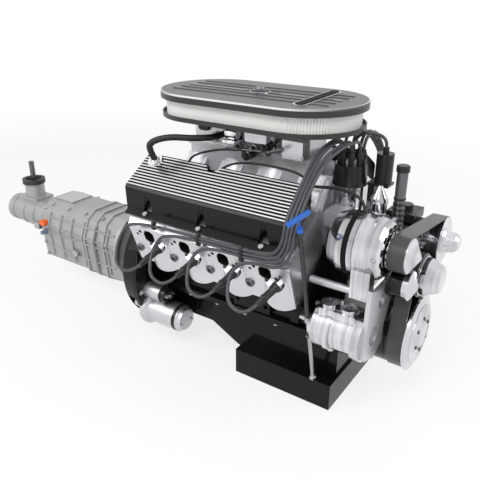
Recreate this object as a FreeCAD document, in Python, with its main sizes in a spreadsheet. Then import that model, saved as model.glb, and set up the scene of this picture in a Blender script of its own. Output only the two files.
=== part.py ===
import FreeCAD
import Part
import Sketcher
import math
import os
import re

# Complete V8 engine with its gearbox, all lengths in millimetres.
# X runs forward along the crank axis, Y to the left, Z up.
# The origin is the end of the output shaft, on the crank axis.

V = FreeCAD.Vector
doc = FreeCAD.newDocument("engine")

# Driving dimensions
SIZES = {
    # drive line, rear to front
    "tail_length": 260,
    "case_length": 367,
    "bell_length": 170,
    "plate_thickness": 3,
    "output_stub": 40,
    "output_radius": 17,
    # block
    "block_length": 521,
    "rear_bore_offset": 118,
    "bore_spacing": 111.25,
    "bore_radius": 52.4,
    "bank_angle": 45,
    "bank_stagger": 22,
    "deck_half_width": 75,
    "bank_foot": 150,
    "valley_depth": 165,
    "rail_half_width": 125,
    "rail_drop": 22,
    "rail_thickness": 10,
    "skirt_half_width": 112,
    "skirt_height": 30,
    "chamber_radius": 86,
    "mount_boss_length": 110,
    "mount_boss_offset": 330,
    "mount_bolt_spacing": 84,
    "mount_bolt_radius": 5.5,
    "mount_bolt_height": 14,
    # crank train
    "stroke": 101.6,
    "main_radius": 38,
    "main_width": 26,
    "main_gap": 1,
    "crankpin_radius": 26.5,
    "web_thickness": 16,
    "web_radius": 75,
    "nose_radius": 20,
    "running_clearance": 0.05,
    "rod_length": 151.1,
    "piston_height": 60,
    "pin_depth": 39.4,
    "wrist_pin_radius": 11.6,
    "cap_half_width": 60,
    "cap_depth": 48,
    # cam drive
    "cam_height": 116,
    "cam_journal_radius": 24,
    "cam_core_radius": 15,
    "cam_lobe_radius": 21,
    "sprocket_width": 14,
    "cam_sprocket_radius": 54,
    "crank_sprocket_radius": 27,
    "chain_thickness": 7,
    # heads and covers
    "gasket_thickness": 1.2,
    "head_length": 458,
    "head_rear_margin": 60,
    "port_height": 24,
    "port_width": 32,
    "port_depth": 34,
    "port_tilt": 20,
    "port_bolt_spacing": 76,
    "port_bolt_radius": 4,
    "port_y": -261,
    "port_z": 193.5,
    "boss_radius": 57,
    "cover_length": 456,
    "cover_tilt": 32,
    "cover_outer_y": -256,
    "cover_outer_z": 312,
    "cover_width": 110,
    "cover_wall": 4,
    "cover_flange": 6,
    "fin_count": 12,
    "fin_height": 3,
    "fin_width": 3.6,
    "notch_radius": 20,
    "grommet_radius": 17,
    # intake and throttle
    "intake_length": 440,
    "intake_clearance": 0.5,
    "runner_width": 64,
    "plenum_length": 340,
    "plenum_half_width": 62,
    "plenum_top": 392,
    "throttle_length": 130,
    "throttle_half_width": 60,
    "throttle_height": 50,
    "throttle_bore": 22,
    "throttle_spacing": 180,
    "throttle_bore_offset": 28,
    "shelf_height": 30,
    "throttle_shaft_radius": 4,
    "butterfly_gap": 0.4,
    # air cleaner
    "lid_length": 544,
    "lid_width": 291,
    "lid_height": 18,
    "lid_top": 519,
    "lid_sheet": 3,
    "lid_rib_count": 5,
    "tray_top": 466,
    "tray_length": 538,
    "tray_width": 285,
    "filter_length": 518,
    "filter_width": 265,
    "filter_thickness": 26,
    "seat_gap": 0.3,
    "stud_radius": 5,
    # oil pan
    "pan_rail": 5,
    "pan_body_half_width": 100,
    "pan_shallow_depth": 104,
    "pan_sheet": 3,
    "pan_box_length": 278,
    "pan_ramp_length": 110,
    "pan_ramp_drop": 58,
    "pan_box_half_width": 145,
    "pan_box_depth": 203,
    "pan_box_height": 72,
    "pan_front": 552,
    # front of the engine
    "timing_depth": 45,
    "timing_half_width": 92,
    "timing_top": 190,
    "timing_wall": 5,
    "pulley_rear": 654,
    "pulley_width": 42,
    "belt_width": 36,
    "belt_thickness": 4.5,
    "belt_seat": 0.3,
    "damper_radius": 86,
    "damper_width": 30,
    "crank_pulley_radius": 84,
    "crank_ring_radius": 92,
    "pump_axis_z": 152,
    "pump_pulley_radius": 47,
    "pump_body_radius": 56,
    "pump_shaft_radius": 8,
    "idler_axis_y": -88,
    "idler_axis_z": 164,
    "idler_radius": 30,
    "steering_axis_y": 137,
    "steering_axis_z": 189,
    "steering_radius": 55,
    "alternator_axis_y": -118,
    "alternator_axis_z": 247,
    "alternator_radius": 73,
    "alternator_pulley_radius": 35,
    "alternator_length": 129,
    "alternator_foot_y": -192,
    "accessory_shaft_radius": 8,
    "compressor_axis_y": -168,
    "compressor_axis_z": 56,
    "compressor_radius": 56,
    # distributor
    "boot_reach": 72,
    "boot_radius": 9.5,
    "lead_radius": 3.6,
    "lead_pitch": 7,
    "lead_line_out": 281,
    "lead_line_z": 231,
    "lead_top": 438,
    "hose_radius": 8,
    "stick_x": 501,
    "stick_y": -137,
    "stick_tube_length": 458,
    "stick_grip_length": 76,
    "distributor_x": 484,
    "distributor_y": 30,
    "distributor_foot": 240,
    "distributor_body_radius": 36,
    "distributor_body_height": 85,
    "distributor_cap_radius": 41,
    "distributor_cap_height": 50,
    "tower_height": 15,
    "tower_ring": 26,
    "distributor_stem_radius": 14,
    "distributor_shaft_radius": 6,
    # starter
    "starter_y": -148,
    "starter_z": -97,
    "starter_radius": 38,
    "starter_length": 128,
    "solenoid_y": -158,
    "solenoid_z": -34,
    "solenoid_radius": 23,
    "solenoid_length": 66,
    # gearbox
    "case_half_width": 100,
    "case_top": 96,
    "case_bottom": 130,
    "tail_radius": 46,
    "turret_offset": 111,
    "turret_radius": 39,
    "turret_height": 66,
    "lever_radius": 9,
    "lever_length": 87,
    # bellhousing
    "bell_front_radius": 205,
    "bell_rear_radius": 112,
    "bell_wall": 8,
    "flywheel_radius": 160,
    "flywheel_width": 24,
}

# Places and fits, worked out from the driving dimensions
PLACES = {
    "block_rear": "tail_length + case_length + bell_length + plate_thickness",
    "block_front": "block_rear + block_length",
    "case_front": "tail_length + case_length",
    "bell_front": "case_front + bell_length",
    "datum": "block_rear + 20",
    "bore_first": "block_rear + rear_bore_offset",
    "main_first": "bore_first - bank_stagger / 2 - bore_spacing / 2",
    "main_last": "main_first + bore_spacing * 4",
    "crank_throw": "stroke / 2",
    "deck_height": "stroke / 2 + rod_length + pin_depth",
    "crankpin_length": "bore_spacing - main_width - main_gap * 2 - web_thickness * 2",
    "main_bore": "main_radius + running_clearance",
    "piston_radius": "bore_radius - running_clearance",
    "sine": "sin(bank_angle)",
    "cosine": "cos(bank_angle)",
    "deck_outer_y": "-deck_height * sine - deck_half_width * cosine",
    "deck_outer_z": "deck_height * cosine - deck_half_width * sine",
    "deck_inner_y": "-deck_height * sine + deck_half_width * cosine",
    "deck_inner_z": "deck_height * cosine + deck_half_width * sine",
    "foot_y": "-bank_foot * sine - deck_half_width * cosine",
    "foot_z": "bank_foot * cosine - deck_half_width * sine",
    "valley_y": "-valley_depth * sine + deck_half_width * cosine",
    "valley_z": "valley_depth * cosine + deck_half_width * sine",
    "head_base": "deck_height + gasket_thickness",
    "head_rear": "bore_first - head_rear_margin",
    "cover_rear": "head_rear - 14",
    "cover_cos": "cos(cover_tilt)",
    "cover_sin": "sin(cover_tilt)",
    "cover_inner_y": "cover_outer_y + cover_width * cover_cos",
    "cover_inner_z": "cover_outer_z + cover_width * cover_sin",
    "rail_outer_y": "cover_outer_y - 12",
    "rail_outer_z": "cover_outer_z - 70",
    "rail_inner_y": "cover_inner_y + 16",
    "rail_inner_z": "rail_outer_z + (rail_inner_y - rail_outer_y) * cover_sin / cover_cos",
    "block_middle": "bore_first - bank_stagger / 2 + bore_spacing * 1.5",
    "lid_x": "datum + 247",
    "lid_base": "lid_top - lid_height",
    "tray_base": "tray_top - 11",
    "timing_front": "block_front + timing_depth",
    "pan_end": "datum + pan_front",
    "box_start": "pan_end - pan_box_length",
    "box_top": "pan_box_height - pan_box_depth",
    "head_inner_y": "(deck_half_width + 3) * cosine - head_base * sine",
    "head_inner_z": "head_base * cosine + (deck_half_width + 3) * sine",
    "face_lean": "(rail_inner_y + 20 - head_inner_y) / (rail_inner_z - 16 - head_inner_z)",
    "intake_rear": "block_middle - intake_length / 2 - 6",
    "intake_front": "intake_rear + intake_length",
    "stick_base_x": "datum + stick_x",
    "mouth_floor": "tail_radius + turret_height - 23",
    "lever_height": "mouth_floor + lever_radius + 4 + seat_gap",
    "belt_rear": "datum + pulley_rear",
    "belt_front": "belt_rear + pulley_width",
    "bracket_rear": "belt_rear - 14",
    "belt_middle": "belt_rear + pulley_width / 2",
    "damper_rear": "belt_rear - 4 - damper_width",
    "alternator_rear": "datum + 522",
    "compressor_rear": "datum + 516",
    "distributor_top": "distributor_foot + distributor_body_height",
    "distributor_at": "datum + distributor_x",
    "tower_base": "distributor_top + distributor_cap_height",
    "chain_inner": "cam_sprocket_radius + belt_seat",
}

sheet = doc.addObject("Spreadsheet::Sheet", "Sizes")
for row, (name, value) in enumerate(SIZES.items(), 1):
    sheet.set("A%d" % row, name)
    sheet.set("B%d" % row, str(value))
    sheet.setAlias("B%d" % row, name)
doc.recompute()

WORD = re.compile(r"[a-z][a-z_0-9]*")


def formula(words):
    """Write the sheet's name before each size and place in a formula."""
    def full(match):
        word = match.group(0)
        if word in SIZES:
            return "Sizes." + word
        if word in PLACES:
            return "Places." + word
        return word
    return WORD.sub(full, str(words))


places = doc.addObject("Spreadsheet::Sheet", "Places")
for row, (name, words) in enumerate(PLACES.items(), 1):
    text = formula(words).replace("Places.", "")
    places.set("A%d" % row, name)
    places.set("B%d" % row, "=" + text)
    places.setAlias("B%d" % row, name)
doc.recompute()


def number(name):
    """Give the value of a size or a place."""
    if name in SIZES:
        return float(sheet.get(name))
    return float(places.get(name))


# Directions that a primitive's own axis can be turned to
UPRIGHT = FreeCAD.Rotation()
FORWARD = FreeCAD.Rotation(V(0, 1, 0), 90)
REARWARD = FreeCAD.Rotation(V(0, 1, 0), -90)
TO_RIGHT = FreeCAD.Rotation(V(1, 0, 0), 90)
TO_LEFT = FreeCAD.Rotation(V(1, 0, 0), -90)


AHEAD = V(1, 0, 0)
ASTERN = V(-1, 0, 0)


def seat(thing, at, turn=UPRIGHT):
    """Put a thing at a bound place; a turn is a fixed one, or an axis and a formula."""
    if isinstance(turn, tuple):
        axis, angle = turn
        thing.Placement = FreeCAD.Placement(V(), FreeCAD.Rotation(axis, 10))
        thing.setExpression("Placement.Rotation.Angle", formula(angle))
    else:
        thing.Placement = FreeCAD.Placement(V(), turn)
    for axis, place in zip("xyz", at):
        thing.setExpression("Placement.Base." + axis, formula(place))
    return thing


def rod(name, radius, length, at, turn=FORWARD):
    thing = doc.addObject("Part::Cylinder", name)
    thing.setExpression("Radius", formula(radius))
    thing.setExpression("Height", formula(length))
    return seat(thing, at, turn)


def cone(name, start, end, length, at, turn=FORWARD):
    thing = doc.addObject("Part::Cone", name)
    thing.setExpression("Radius1", formula(start))
    thing.setExpression("Radius2", formula(end))
    thing.setExpression("Height", formula(length))
    return seat(thing, at, turn)


def box(name, size, at, turn=UPRIGHT):
    thing = doc.addObject("Part::Box", name)
    for side, words in zip(("Length", "Width", "Height"), size):
        thing.setExpression(side, formula(words))
    return seat(thing, at, turn)


def hexagon(name, radius, length, at, turn=FORWARD):
    thing = doc.addObject("Part::Prism", name)
    thing.Polygon = 6
    thing.setExpression("Circumradius", formula(radius))
    thing.setExpression("Height", formula(length))
    return seat(thing, at, turn)


def outline(body, name, plane, points):
    """Draw a closed outline, from a rough ring, whose corners are bound to formulas."""
    sketch = body.newObject("Sketcher::SketchObject", name)
    origin = [item for item in body.Origin.OriginFeatures if item.Role == plane][0]
    sketch.AttachmentSupport = [(origin, "")]
    sketch.MapMode = "FlatFace"
    count = len(points)
    turns = [math.tau * index / count for index in range(count)]
    corners = [V(100 * math.cos(turn), 100 * math.sin(turn), 0) for turn in turns]
    for index in range(count):
        start = corners[index]
        end = corners[(index + 1) % count]
        sketch.addGeometry(Part.LineSegment(start, end), False)
    for index in range(count):
        following = (index + 1) % count
        sketch.addConstraint(Sketcher.Constraint("Coincident", index, 2, following, 1))
    for index, (across, up) in enumerate(points):
        for kind, words, value in (("DistanceX", across, corners[index].x),
                                   ("DistanceY", up, corners[index].y)):
            place = Sketcher.Constraint(kind, -1, 1, index, 1, value)
            row = sketch.addConstraint(place)
            sketch.setExpression("Constraints[%d]" % row, formula(words))
    return sketch


def profile(name, points, length, at=("0", "0", "0"), plane="YZ_Plane", turn=UPRIGHT):
    """Extrude a closed outline along the normal of its plane."""
    body = doc.addObject("PartDesign::Body", name)
    sketch = outline(body, name + "_outline", plane, points)
    pad = body.newObject("PartDesign::Pad", name + "_pad")
    pad.Profile = sketch
    pad.setExpression("Length", formula(length))
    sketch.Visibility = False
    return seat(body, at, turn)


def lathe(name, points, at, turn=UPRIGHT):
    """Turn an outline of (along, radius) points about its own X axis."""
    body = doc.addObject("PartDesign::Body", name)
    sketch = outline(body, name + "_outline", "XZ_Plane", points)
    turned = body.newObject("PartDesign::Revolution", name + "_turned")
    turned.Profile = sketch
    turned.ReferenceAxis = (sketch, ["H_Axis"])
    turned.Angle = 360
    sketch.Visibility = False
    return seat(body, at, turn)


def fuse(name, things):
    thing = doc.addObject("Part::MultiFuse", name)
    thing.Shapes = things
    thing.Refine = True
    return thing


def group(name, things):
    thing = doc.addObject("Part::Compound", name)
    thing.Links = things
    return thing


def cut(name, base, tools):
    thing = doc.addObject("Part::Cut", name)
    thing.Base = base
    thing.Tool = tools[0] if len(tools) == 1 else group(name + "_tools", tools)
    thing.Refine = True
    return thing


def mirrored(name, source, shift="0"):
    """Repeat a right-hand piece on the left bank."""
    thing = doc.addObject("Part::Mirroring", name)
    thing.Source = source
    thing.Normal = V(0, 1, 0)
    thing.setExpression("Placement.Base.x", formula(shift))
    return thing


def stadium(name, length, width, height, at):
    """A flat slab with two round ends, centred on its place."""
    x, y, z = at
    length = "(%s)" % length
    width = "(%s)" % width
    middle = box(name + "_middle", ("%s - %s" % (length, width), width, height),
                 ("%s - (%s - %s) / 2" % (x, length, width), "%s - %s / 2" % (y, width), z))
    ends = []
    for index, sign in enumerate(("-", "+")):
        place = ("%s %s (%s - %s) / 2" % (x, sign, length, width), y, z)
        ends.append(rod("%s_end%d" % (name, index), width + " / 2", height, place, UPRIGHT))
    return fuse(name, [middle] + ends)


nodes = []


def piece(label, thing):
    """Keep a finished piece under the name of its node."""
    thing.Label = label
    nodes.append(thing)
    return thing


RIGHT_BANK = (AHEAD, "bank_angle")
LEFT_BANK = (ASTERN, "bank_angle")
BANKS = (("right", RIGHT_BANK, "0", "-"), ("left", LEFT_BANK, "bank_stagger", ""))
CYLINDERS = range(4)
MAINS = range(5)


def flip(points):
    """Give the left-hand half of an outline whose right-hand half is known."""
    return [("-(%s)" % across, up) for across, up in reversed(points)]


def bore_place(cylinder, stagger, sign, along):
    """A point on a bore's axis, a given way out from the crank axis."""
    return ("bore_first + bore_spacing * %d - %s" % (cylinder, stagger),
            "%s(%s) * sine" % (sign, along), "(%s) * cosine" % along)


def main_x(index):
    return "main_first + bore_spacing * %d" % index


# Engine block
block_half = [("-rail_half_width", "-rail_drop"),
              ("-rail_half_width", "-rail_drop + rail_thickness"),
              ("-skirt_half_width", "-rail_drop + rail_thickness + 8"),
              ("-skirt_half_width", "skirt_height"),
              ("foot_y", "foot_z"),
              ("deck_outer_y", "deck_outer_z"),
              ("deck_inner_y", "deck_inner_z"),
              ("valley_y", "valley_z")]
block_body = profile("block_body", block_half + flip(block_half), "block_length",
                     ("block_rear", "0", "0"))
mount_bosses = []
block_tools = []
for side, sign in (("right", "-"), ("left", "")):
    boss_y = "-skirt_half_width - 14" if sign else "skirt_half_width - 2"
    mount_bosses.append(box("mount_boss_" + side, ("mount_boss_length", "16", "38"),
                            ("block_rear + mount_boss_offset - mount_boss_length / 2",
                             boss_y, "mount_bolt_height - 19")))
    for step in ("-", "+"):
        hole_x = "block_rear + mount_boss_offset %s mount_bolt_spacing / 2" % step
        hole_y = "%s(skirt_half_width - 10)" % sign
        block_tools.append(rod("mount_hole", "mount_bolt_radius", "30",
                               (hole_x, hole_y, "mount_bolt_height"),
                               TO_RIGHT if sign else TO_LEFT))
mount_bosses.append(box("accessory_lug", ("22", "36", "30"),
                        ("datum + 436", "-skirt_half_width - 34", "skirt_height - 16")))
for index in range(4):
    block_tools.append(rod("chamber%d" % index, "chamber_radius",
                           "bore_spacing - main_width",
                           (main_x(index) + " + main_width / 2", "0", "0")))
for side, turn, stagger, sign in BANKS:
    for cylinder in CYLINDERS:
        block_tools.append(rod("bore_%s%d" % (side, cylinder), "bore_radius",
                               "deck_height - bore_radius",
                               bore_place(cylinder, stagger, sign, "chamber_radius - 20"), turn))
block_tools.append(rod("main_tunnel", "main_bore", "block_length", ("block_rear", "0", "0")))
block_tools.append(rod("cam_tunnel", "cam_journal_radius + running_clearance", "block_length",
                       ("block_rear", "0", "cam_height")))
block_tools.append(rod("distributor_bore", "distributor_stem_radius + running_clearance",
                       "deck_height", ("distributor_at", "distributor_y",
                                       "cam_height + cam_journal_radius + 6"), UPRIGHT))
block_tools.append(rod("distributor_well", "distributor_stem_radius + 1.4", "22",
                       ("distributor_at", "distributor_y", "cam_height - 11"), UPRIGHT))
block_tools.append(rod("distributor_passage", "distributor_shaft_radius + 0.4", "60",
                       ("distributor_at", "distributor_y", "cam_height"), UPRIGHT))


def cap_span(index):
    """Where a bearing cap starts and how long it is; the end caps reach the block's ends."""
    start = main_x(index) + " - main_width / 2"
    end = main_x(index) + " + main_width / 2"
    if index == 0:
        start = "block_rear + pan_sheet + 1"
    if index == 4:
        end = "block_front - pan_sheet - 1"
    return start, "%s - (%s)" % (end, start)


for index in MAINS:
    start, length = cap_span(index)
    block_tools.append(box("register%d" % index, (length, "cap_half_width * 2", "rail_drop + 1"),
                           (start, "-cap_half_width", "-rail_drop - 1")))
block = cut("block", fuse("block_blank", [block_body] + mount_bosses), block_tools)
piece("engine_block", block)

# Main bearing caps
caps = []
for index in MAINS:
    start, length = cap_span(index)
    cap = box("cap%d" % index, (length, "cap_half_width * 2", "cap_depth"),
              (start, "-cap_half_width", "-cap_depth"))
    caps.append(cut("cap_bored%d" % index, cap,
                    [rod("cap_bore%d" % index, "main_bore", length, (start, "0", "0"))]))
for index in MAINS:
    for sign in ("-", ""):
        caps.append(hexagon("cap_bolt", "9", "9",
                            (main_x(index), sign + "(cap_half_width - 11)", "-cap_depth - 9"),
                            UPRIGHT))
piece("main_bearing_caps", group("caps", caps))

# Crankshaft: five journals, four throws at right angles, nose and rear flange
THROWS = (0, 90, 270, 180)
web_outline = [("-24", "crank_throw + crankpin_radius - 12"), ("-main_radius", "8"),
               ("-web_radius * 0.94", "-18"), ("-web_radius * 0.7", "-web_radius * 0.68"),
               ("-web_radius * 0.28", "-web_radius * 0.93")]
web_points = web_outline + flip(web_outline)
crank_parts = []
for index in MAINS:
    crank_parts.append(rod("journal%d" % index, "main_radius", "main_width + main_gap * 2",
                           (main_x(index) + " - main_width / 2 - main_gap", "0", "0")))
for index, angle in enumerate(THROWS):
    web_start = main_x(index) + " + main_width / 2 + main_gap"
    turn = (AHEAD, str(angle))
    for shift in ("0", "web_thickness + crankpin_length"):
        crank_parts.append(profile("web", web_points, "web_thickness",
                                   (web_start + " + " + shift, "0", "0"), turn=turn))
    crank_parts.append(rod("crankpin%d" % index, "crankpin_radius", "crankpin_length",
                           (web_start + " + web_thickness",
                            "-crank_throw * sin(%d)" % angle, "crank_throw * cos(%d)" % angle)))
crank_parts.append(rod("rear_seal", "main_radius", "main_first - main_width / 2 - block_rear + 12",
                       ("block_rear - 12", "0", "0")))
crank_parts.append(rod("nose", "nose_radius", "belt_front - main_last - main_width / 2",
                       ("main_last + main_width / 2", "0", "0")))
piece("crankshaft", fuse("crank", crank_parts))

# Flywheel on the crank flange with the dished clutch cover behind it; the teeth are left plain
flywheel_rear = "block_rear - 12 - flywheel_width"
flywheel_disc = lathe("flywheel_disc",
      [("0", "22"), ("flywheel_width", "22"), ("flywheel_width", "flywheel_radius - 6"),
       ("flywheel_width - 3", "flywheel_radius - 6"), ("flywheel_width - 3", "flywheel_radius"),
       ("flywheel_width - 14", "flywheel_radius"), ("flywheel_width - 14", "flywheel_radius - 12"),
       ("0", "flywheel_radius - 12")], (flywheel_rear, "0", "0"))
clutch_dish = lathe("clutch_dish",
      [("0", "60"), ("8", "60"), ("24", "100"), ("34", "104"), ("34", "140"), ("28", "140"),
       ("18", "104"), ("0", "66")], (flywheel_rear + " - 34", "0", "0"))
piece("flywheel", fuse("flywheel_set", [flywheel_disc, clutch_dish]))

# Crank sprocket, cam sprocket and chain
sprocket_x = "block_front + 8"
piece("crank_sprocket", lathe("crank_sprocket_disc",
      [("0", "nose_radius"), ("sprocket_width", "nose_radius"),
       ("sprocket_width", "crank_sprocket_radius"), ("0", "crank_sprocket_radius")],
      (sprocket_x, "0", "0")))
piece("cam_sprocket", cut("cam_sprocket_disc",
      rod("cam_sprocket_blank", "cam_sprocket_radius", "sprocket_width",
          (sprocket_x, "0", "cam_height")),
      [rod("cam_sprocket_window%d" % index, "12", "sprocket_width + 2",
           (sprocket_x + " - 1", "34 * cos(%d)" % (60 * index),
            "cam_height + 34 * sin(%d)" % (60 * index))) for index in range(6)]
      + [rod("cam_sprocket_hole", "cam_core_radius - 3", "sprocket_width + 2",
             (sprocket_x + " - 1", "0", "cam_height"))]))

# Camshaft with five journals, lobes and the distributor's drive gear
cam_start = "block_rear + 10"
cam_parts = [rod("cam_core", "cam_core_radius - 3", "block_length + 10 + sprocket_width",
                 (cam_start, "0", "cam_height"))]
for index in MAINS:
    width = "main_width" if index < 4 else "main_width - 21"
    cam_parts.append(rod("cam_journal%d" % index, "cam_journal_radius", width,
                         (main_x(index) + " - main_width / 2", "0", "cam_height")))
for index in range(4):
    for step in range(4):
        angle = 90 * index + 68 * step
        cam_parts.append(rod("lobe", "cam_lobe_radius - 6", "12",
                             (main_x(index) + " + main_width / 2 + %d" % (4 + 20 * step),
                              "5.5 * sin(%d)" % angle, "cam_height + 5.5 * cos(%d)" % angle)))
cam_parts.append(rod("cam_gear", "cam_core_radius - 0.4", "16",
                     ("distributor_at - 8", "0", "cam_height")))
piece("camshaft", fuse("cam", cam_parts))


def loop_points(circles, grow):
    """Straight runs and arcs of a belt round circles of (y, z, radius, side)."""
    count = len(circles)
    runs = []
    for index in range(count):
        y0, z0, radius0, side0 = circles[index]
        y1, z1, radius1, side1 = circles[(index + 1) % count]
        across, up = y1 - y0, z1 - z0
        distance = math.hypot(across, up)
        start_radius = side0 * (radius0 + side0 * grow)
        end_radius = side1 * (radius1 + side1 * grow)
        lean = math.asin((start_radius - end_radius) / distance)
        heading = math.atan2(up, across) - lean
        normal = (-math.sin(heading), math.cos(heading))
        runs.append((V(0, y0 + normal[0] * start_radius, z0 + normal[1] * start_radius),
                     V(0, y1 + normal[0] * end_radius, z1 + normal[1] * end_radius)))
    return runs


def loop_face(circles, grow):
    """A face inside a belt line that leaves each circle on its own side."""
    runs = loop_points(circles, grow)
    edges = []
    for index in range(len(circles)):
        start, end = runs[index]
        edges.append(Part.LineSegment(start, end).toShape())
        y1, z1, radius, side = circles[(index + 1) % len(circles)]
        following = runs[(index + 1) % len(circles)][0]
        centre = V(0, y1, z1)
        reach = radius + side * grow
        first = end - centre
        last = following - centre
        turn = (math.atan2(last.z, last.y) - math.atan2(first.z, first.y)) % math.tau
        if side > 0:
            turn -= math.tau
        middle_angle = math.atan2(first.z, first.y) + turn / 2
        middle = centre + V(0, math.cos(middle_angle), math.sin(middle_angle)) * reach
        edges.append(Part.Arc(end, middle, following).toShape())
    return Part.Face(Part.Wire(edges))


def band(name, circles, start, width, thickness):
    """A closed belt or chain, drawn between two lines round the same pulleys."""
    outer = loop_face(circles, thickness).extrude(V(width, 0, 0))
    inner = loop_face(circles, 0).extrude(V(width, 0, 0))
    thing = doc.addObject("Part::Feature", name)
    thing.Shape = outer.cut(inner)
    thing.Placement = FreeCAD.Placement(V(start, 0, 0), UPRIGHT)
    return thing


chain_circles = [(0, 0, number("crank_sprocket_radius") + number("belt_seat"), 1),
                 (0, number("cam_height"), number("chain_inner"), 1)]
piece("timing_chain", band("chain", chain_circles, number("block_front") + 10,
                           number("sprocket_width") - 4, number("chain_thickness")))

# Pistons with their wrist pins, at the height that the crank sets at rest
for side, turn, stagger, sign in BANKS:
    pistons = []
    for cylinder in CYLINDERS:
        lean = "%d %s bank_angle" % (THROWS[cylinder], "-" if side == "right" else "+")
        pin = ("(crank_throw * cos(%s) + sqrt(rod_length ^ 2 - (crank_throw * sin(%s)) ^ 2))"
               % (lean, lean))
        crown = pin + " + pin_depth - piston_height"
        name = "piston_%s%d" % (side, cylinder)
        blank = rod(name + "_blank", "piston_radius", "piston_height",
                    bore_place(cylinder, stagger, sign, crown), turn)
        hollow = rod(name + "_hollow", "piston_radius - 7", "piston_height - 18",
                     bore_place(cylinder, stagger, sign, crown + " - 1"), turn)
        pin_bore = rod(name + "_pin_bore", "wrist_pin_radius", "bore_radius * 2",
                       ("bore_first + bore_spacing * %d - %s - bore_radius" % (cylinder, stagger),
                        "%s(%s) * sine" % (sign, pin), "(%s) * cosine" % pin))
        wrist_pin = rod(name + "_pin", "wrist_pin_radius", "piston_radius * 2 - 12",
                        ("bore_first + bore_spacing * %d - %s - piston_radius + 6"
                         % (cylinder, stagger),
                         "%s(%s) * sine" % (sign, pin), "(%s) * cosine" % pin))
        shell = cut(name + "_shell", blank, [hollow, pin_bore])
        pistons.append(group(name, [shell, wrist_pin]))
    piece("pistons_" + side, group("pistons_of_" + side, pistons))

# Head gaskets, one thin sheet to a bank with four holes
gaskets = []
for side, turn, stagger, sign in BANKS:
    sheet_blank = box("gasket_" + side, ("head_length", "deck_half_width * 2", "gasket_thickness"),
                      ("head_rear - " + stagger,
                       "%sdeck_height * sine - deck_half_width * cosine" % sign,
                       "deck_height * cosine - %sdeck_half_width * sine"
                       % ("" if side == "right" else "-1 * ")), turn)
    holes = [rod("gasket_hole", "bore_radius + 1", "10",
                 bore_place(cylinder, stagger, sign, "deck_height - 4"), turn)
             for cylinder in CYLINDERS]
    gaskets.append(cut("gasket_cut_" + side, sheet_blank, holes))
piece("head_gaskets", group("gaskets", gaskets))

# Right cylinder head: section along the engine, four plug bosses, ports and bolt holes
head_section = [
    ("-head_base * sine - (deck_half_width + 11) * cosine",
     "head_base * cosine - (deck_half_width + 11) * sine"),
    ("port_y + 30 * sin(port_tilt)", "port_z - 30 * cos(port_tilt)"),
    ("port_y - 26 * sin(port_tilt)", "port_z + 26 * cos(port_tilt)"),
    ("rail_outer_y + 7", "rail_outer_z - 8"),
    ("rail_outer_y", "rail_outer_z"),
    ("rail_inner_y", "rail_inner_z"),
    ("rail_inner_y + 20", "rail_inner_z - 16"),
    ("head_inner_y", "head_inner_z"),
]
head_body = profile("head_body", head_section, "head_length", ("head_rear", "0", "0"))
plug_bosses = []
head_tools = []
FLANGE = (AHEAD, "90 + port_tilt")
port_outline = [("-port_width / 2", "-port_height / 2"), ("-port_width / 4", "-port_height * 0.75"),
                ("port_width / 4", "-port_height * 0.75"), ("port_width / 2", "-port_height / 4"),
                ("port_width / 2", "port_height / 2"), ("port_width / 4", "port_height * 0.75"),
                ("-port_width / 4", "port_height * 0.75"), ("-port_width / 2", "port_height / 4")]


def port_x(cylinder):
    return "bore_first + bore_spacing * %d" % cylinder


for cylinder in CYLINDERS:
    plug_bosses.append(cone("plug_boss%d" % cylinder, "boss_radius", "boss_radius / 2",
                            "rail_outer_z - port_z + 18",
                            (port_x(cylinder) + " + 24",
                             "-head_base * sine - (deck_half_width + 26 - boss_radius) * cosine",
                             "head_base * cosine - (deck_half_width + 26 - boss_radius) * sine"),
                            RIGHT_BANK))
    inside = ("port_y + port_depth * cos(port_tilt)", "port_z + port_depth * sin(port_tilt)")
    head_tools.append(profile("port%d" % cylinder, port_outline, "port_depth + 20",
                              (port_x(cylinder),) + inside, "XY_Plane", FLANGE))
    for step in ("-", "+"):
        head_tools.append(rod("port_hole", "port_bolt_radius", "port_depth",
                              ("%s %s port_bolt_spacing / 2" % (port_x(cylinder), step),
                               "port_y + 20 * cos(port_tilt)", "port_z + 20 * sin(port_tilt)"),
                              FLANGE))
PLUG_TURN = FreeCAD.Rotation(V(0, 0, 1), V(-0.35, -0.80, -0.49))
plug_seat = ("%s + 38", "port_y + 9", "port_z - 16")
for cylinder in CYLINDERS:
    seat_x = plug_seat[0] % port_x(cylinder)
    head_tools.append(rod("plug_well%d" % cylinder, "13", "40",
                          (seat_x, plug_seat[1], plug_seat[2]), PLUG_TURN))
head_tools.append(box("head_front_face", ("100", "500", "500"),
                      ("head_rear + head_length", "-500", "0")))
head_blank = fuse("head_blank", [head_body] + plug_bosses)
head_right = cut("head_right", head_blank, head_tools)
piece("cylinder_head_right", head_right)
piece("cylinder_head_left", mirrored("head_left", head_right, "-bank_stagger"))

# Spark plugs, screwed into the wells
plugs = []
for cylinder in CYLINDERS:
    seat_x = plug_seat[0] % port_x(cylinder)
    plugs.append(hexagon("plug_hex", "10", "12", (seat_x, plug_seat[1], plug_seat[2]), PLUG_TURN))
    plugs.append(rod("plug_body", "5.5", "30", (seat_x, plug_seat[1], plug_seat[2]), PLUG_TURN))
plugs_right = fuse("plugs_right", plugs)
piece("spark_plugs", group("plugs", [plugs_right, mirrored("plugs_left", plugs_right,
                                                           "-bank_stagger")]))

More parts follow.
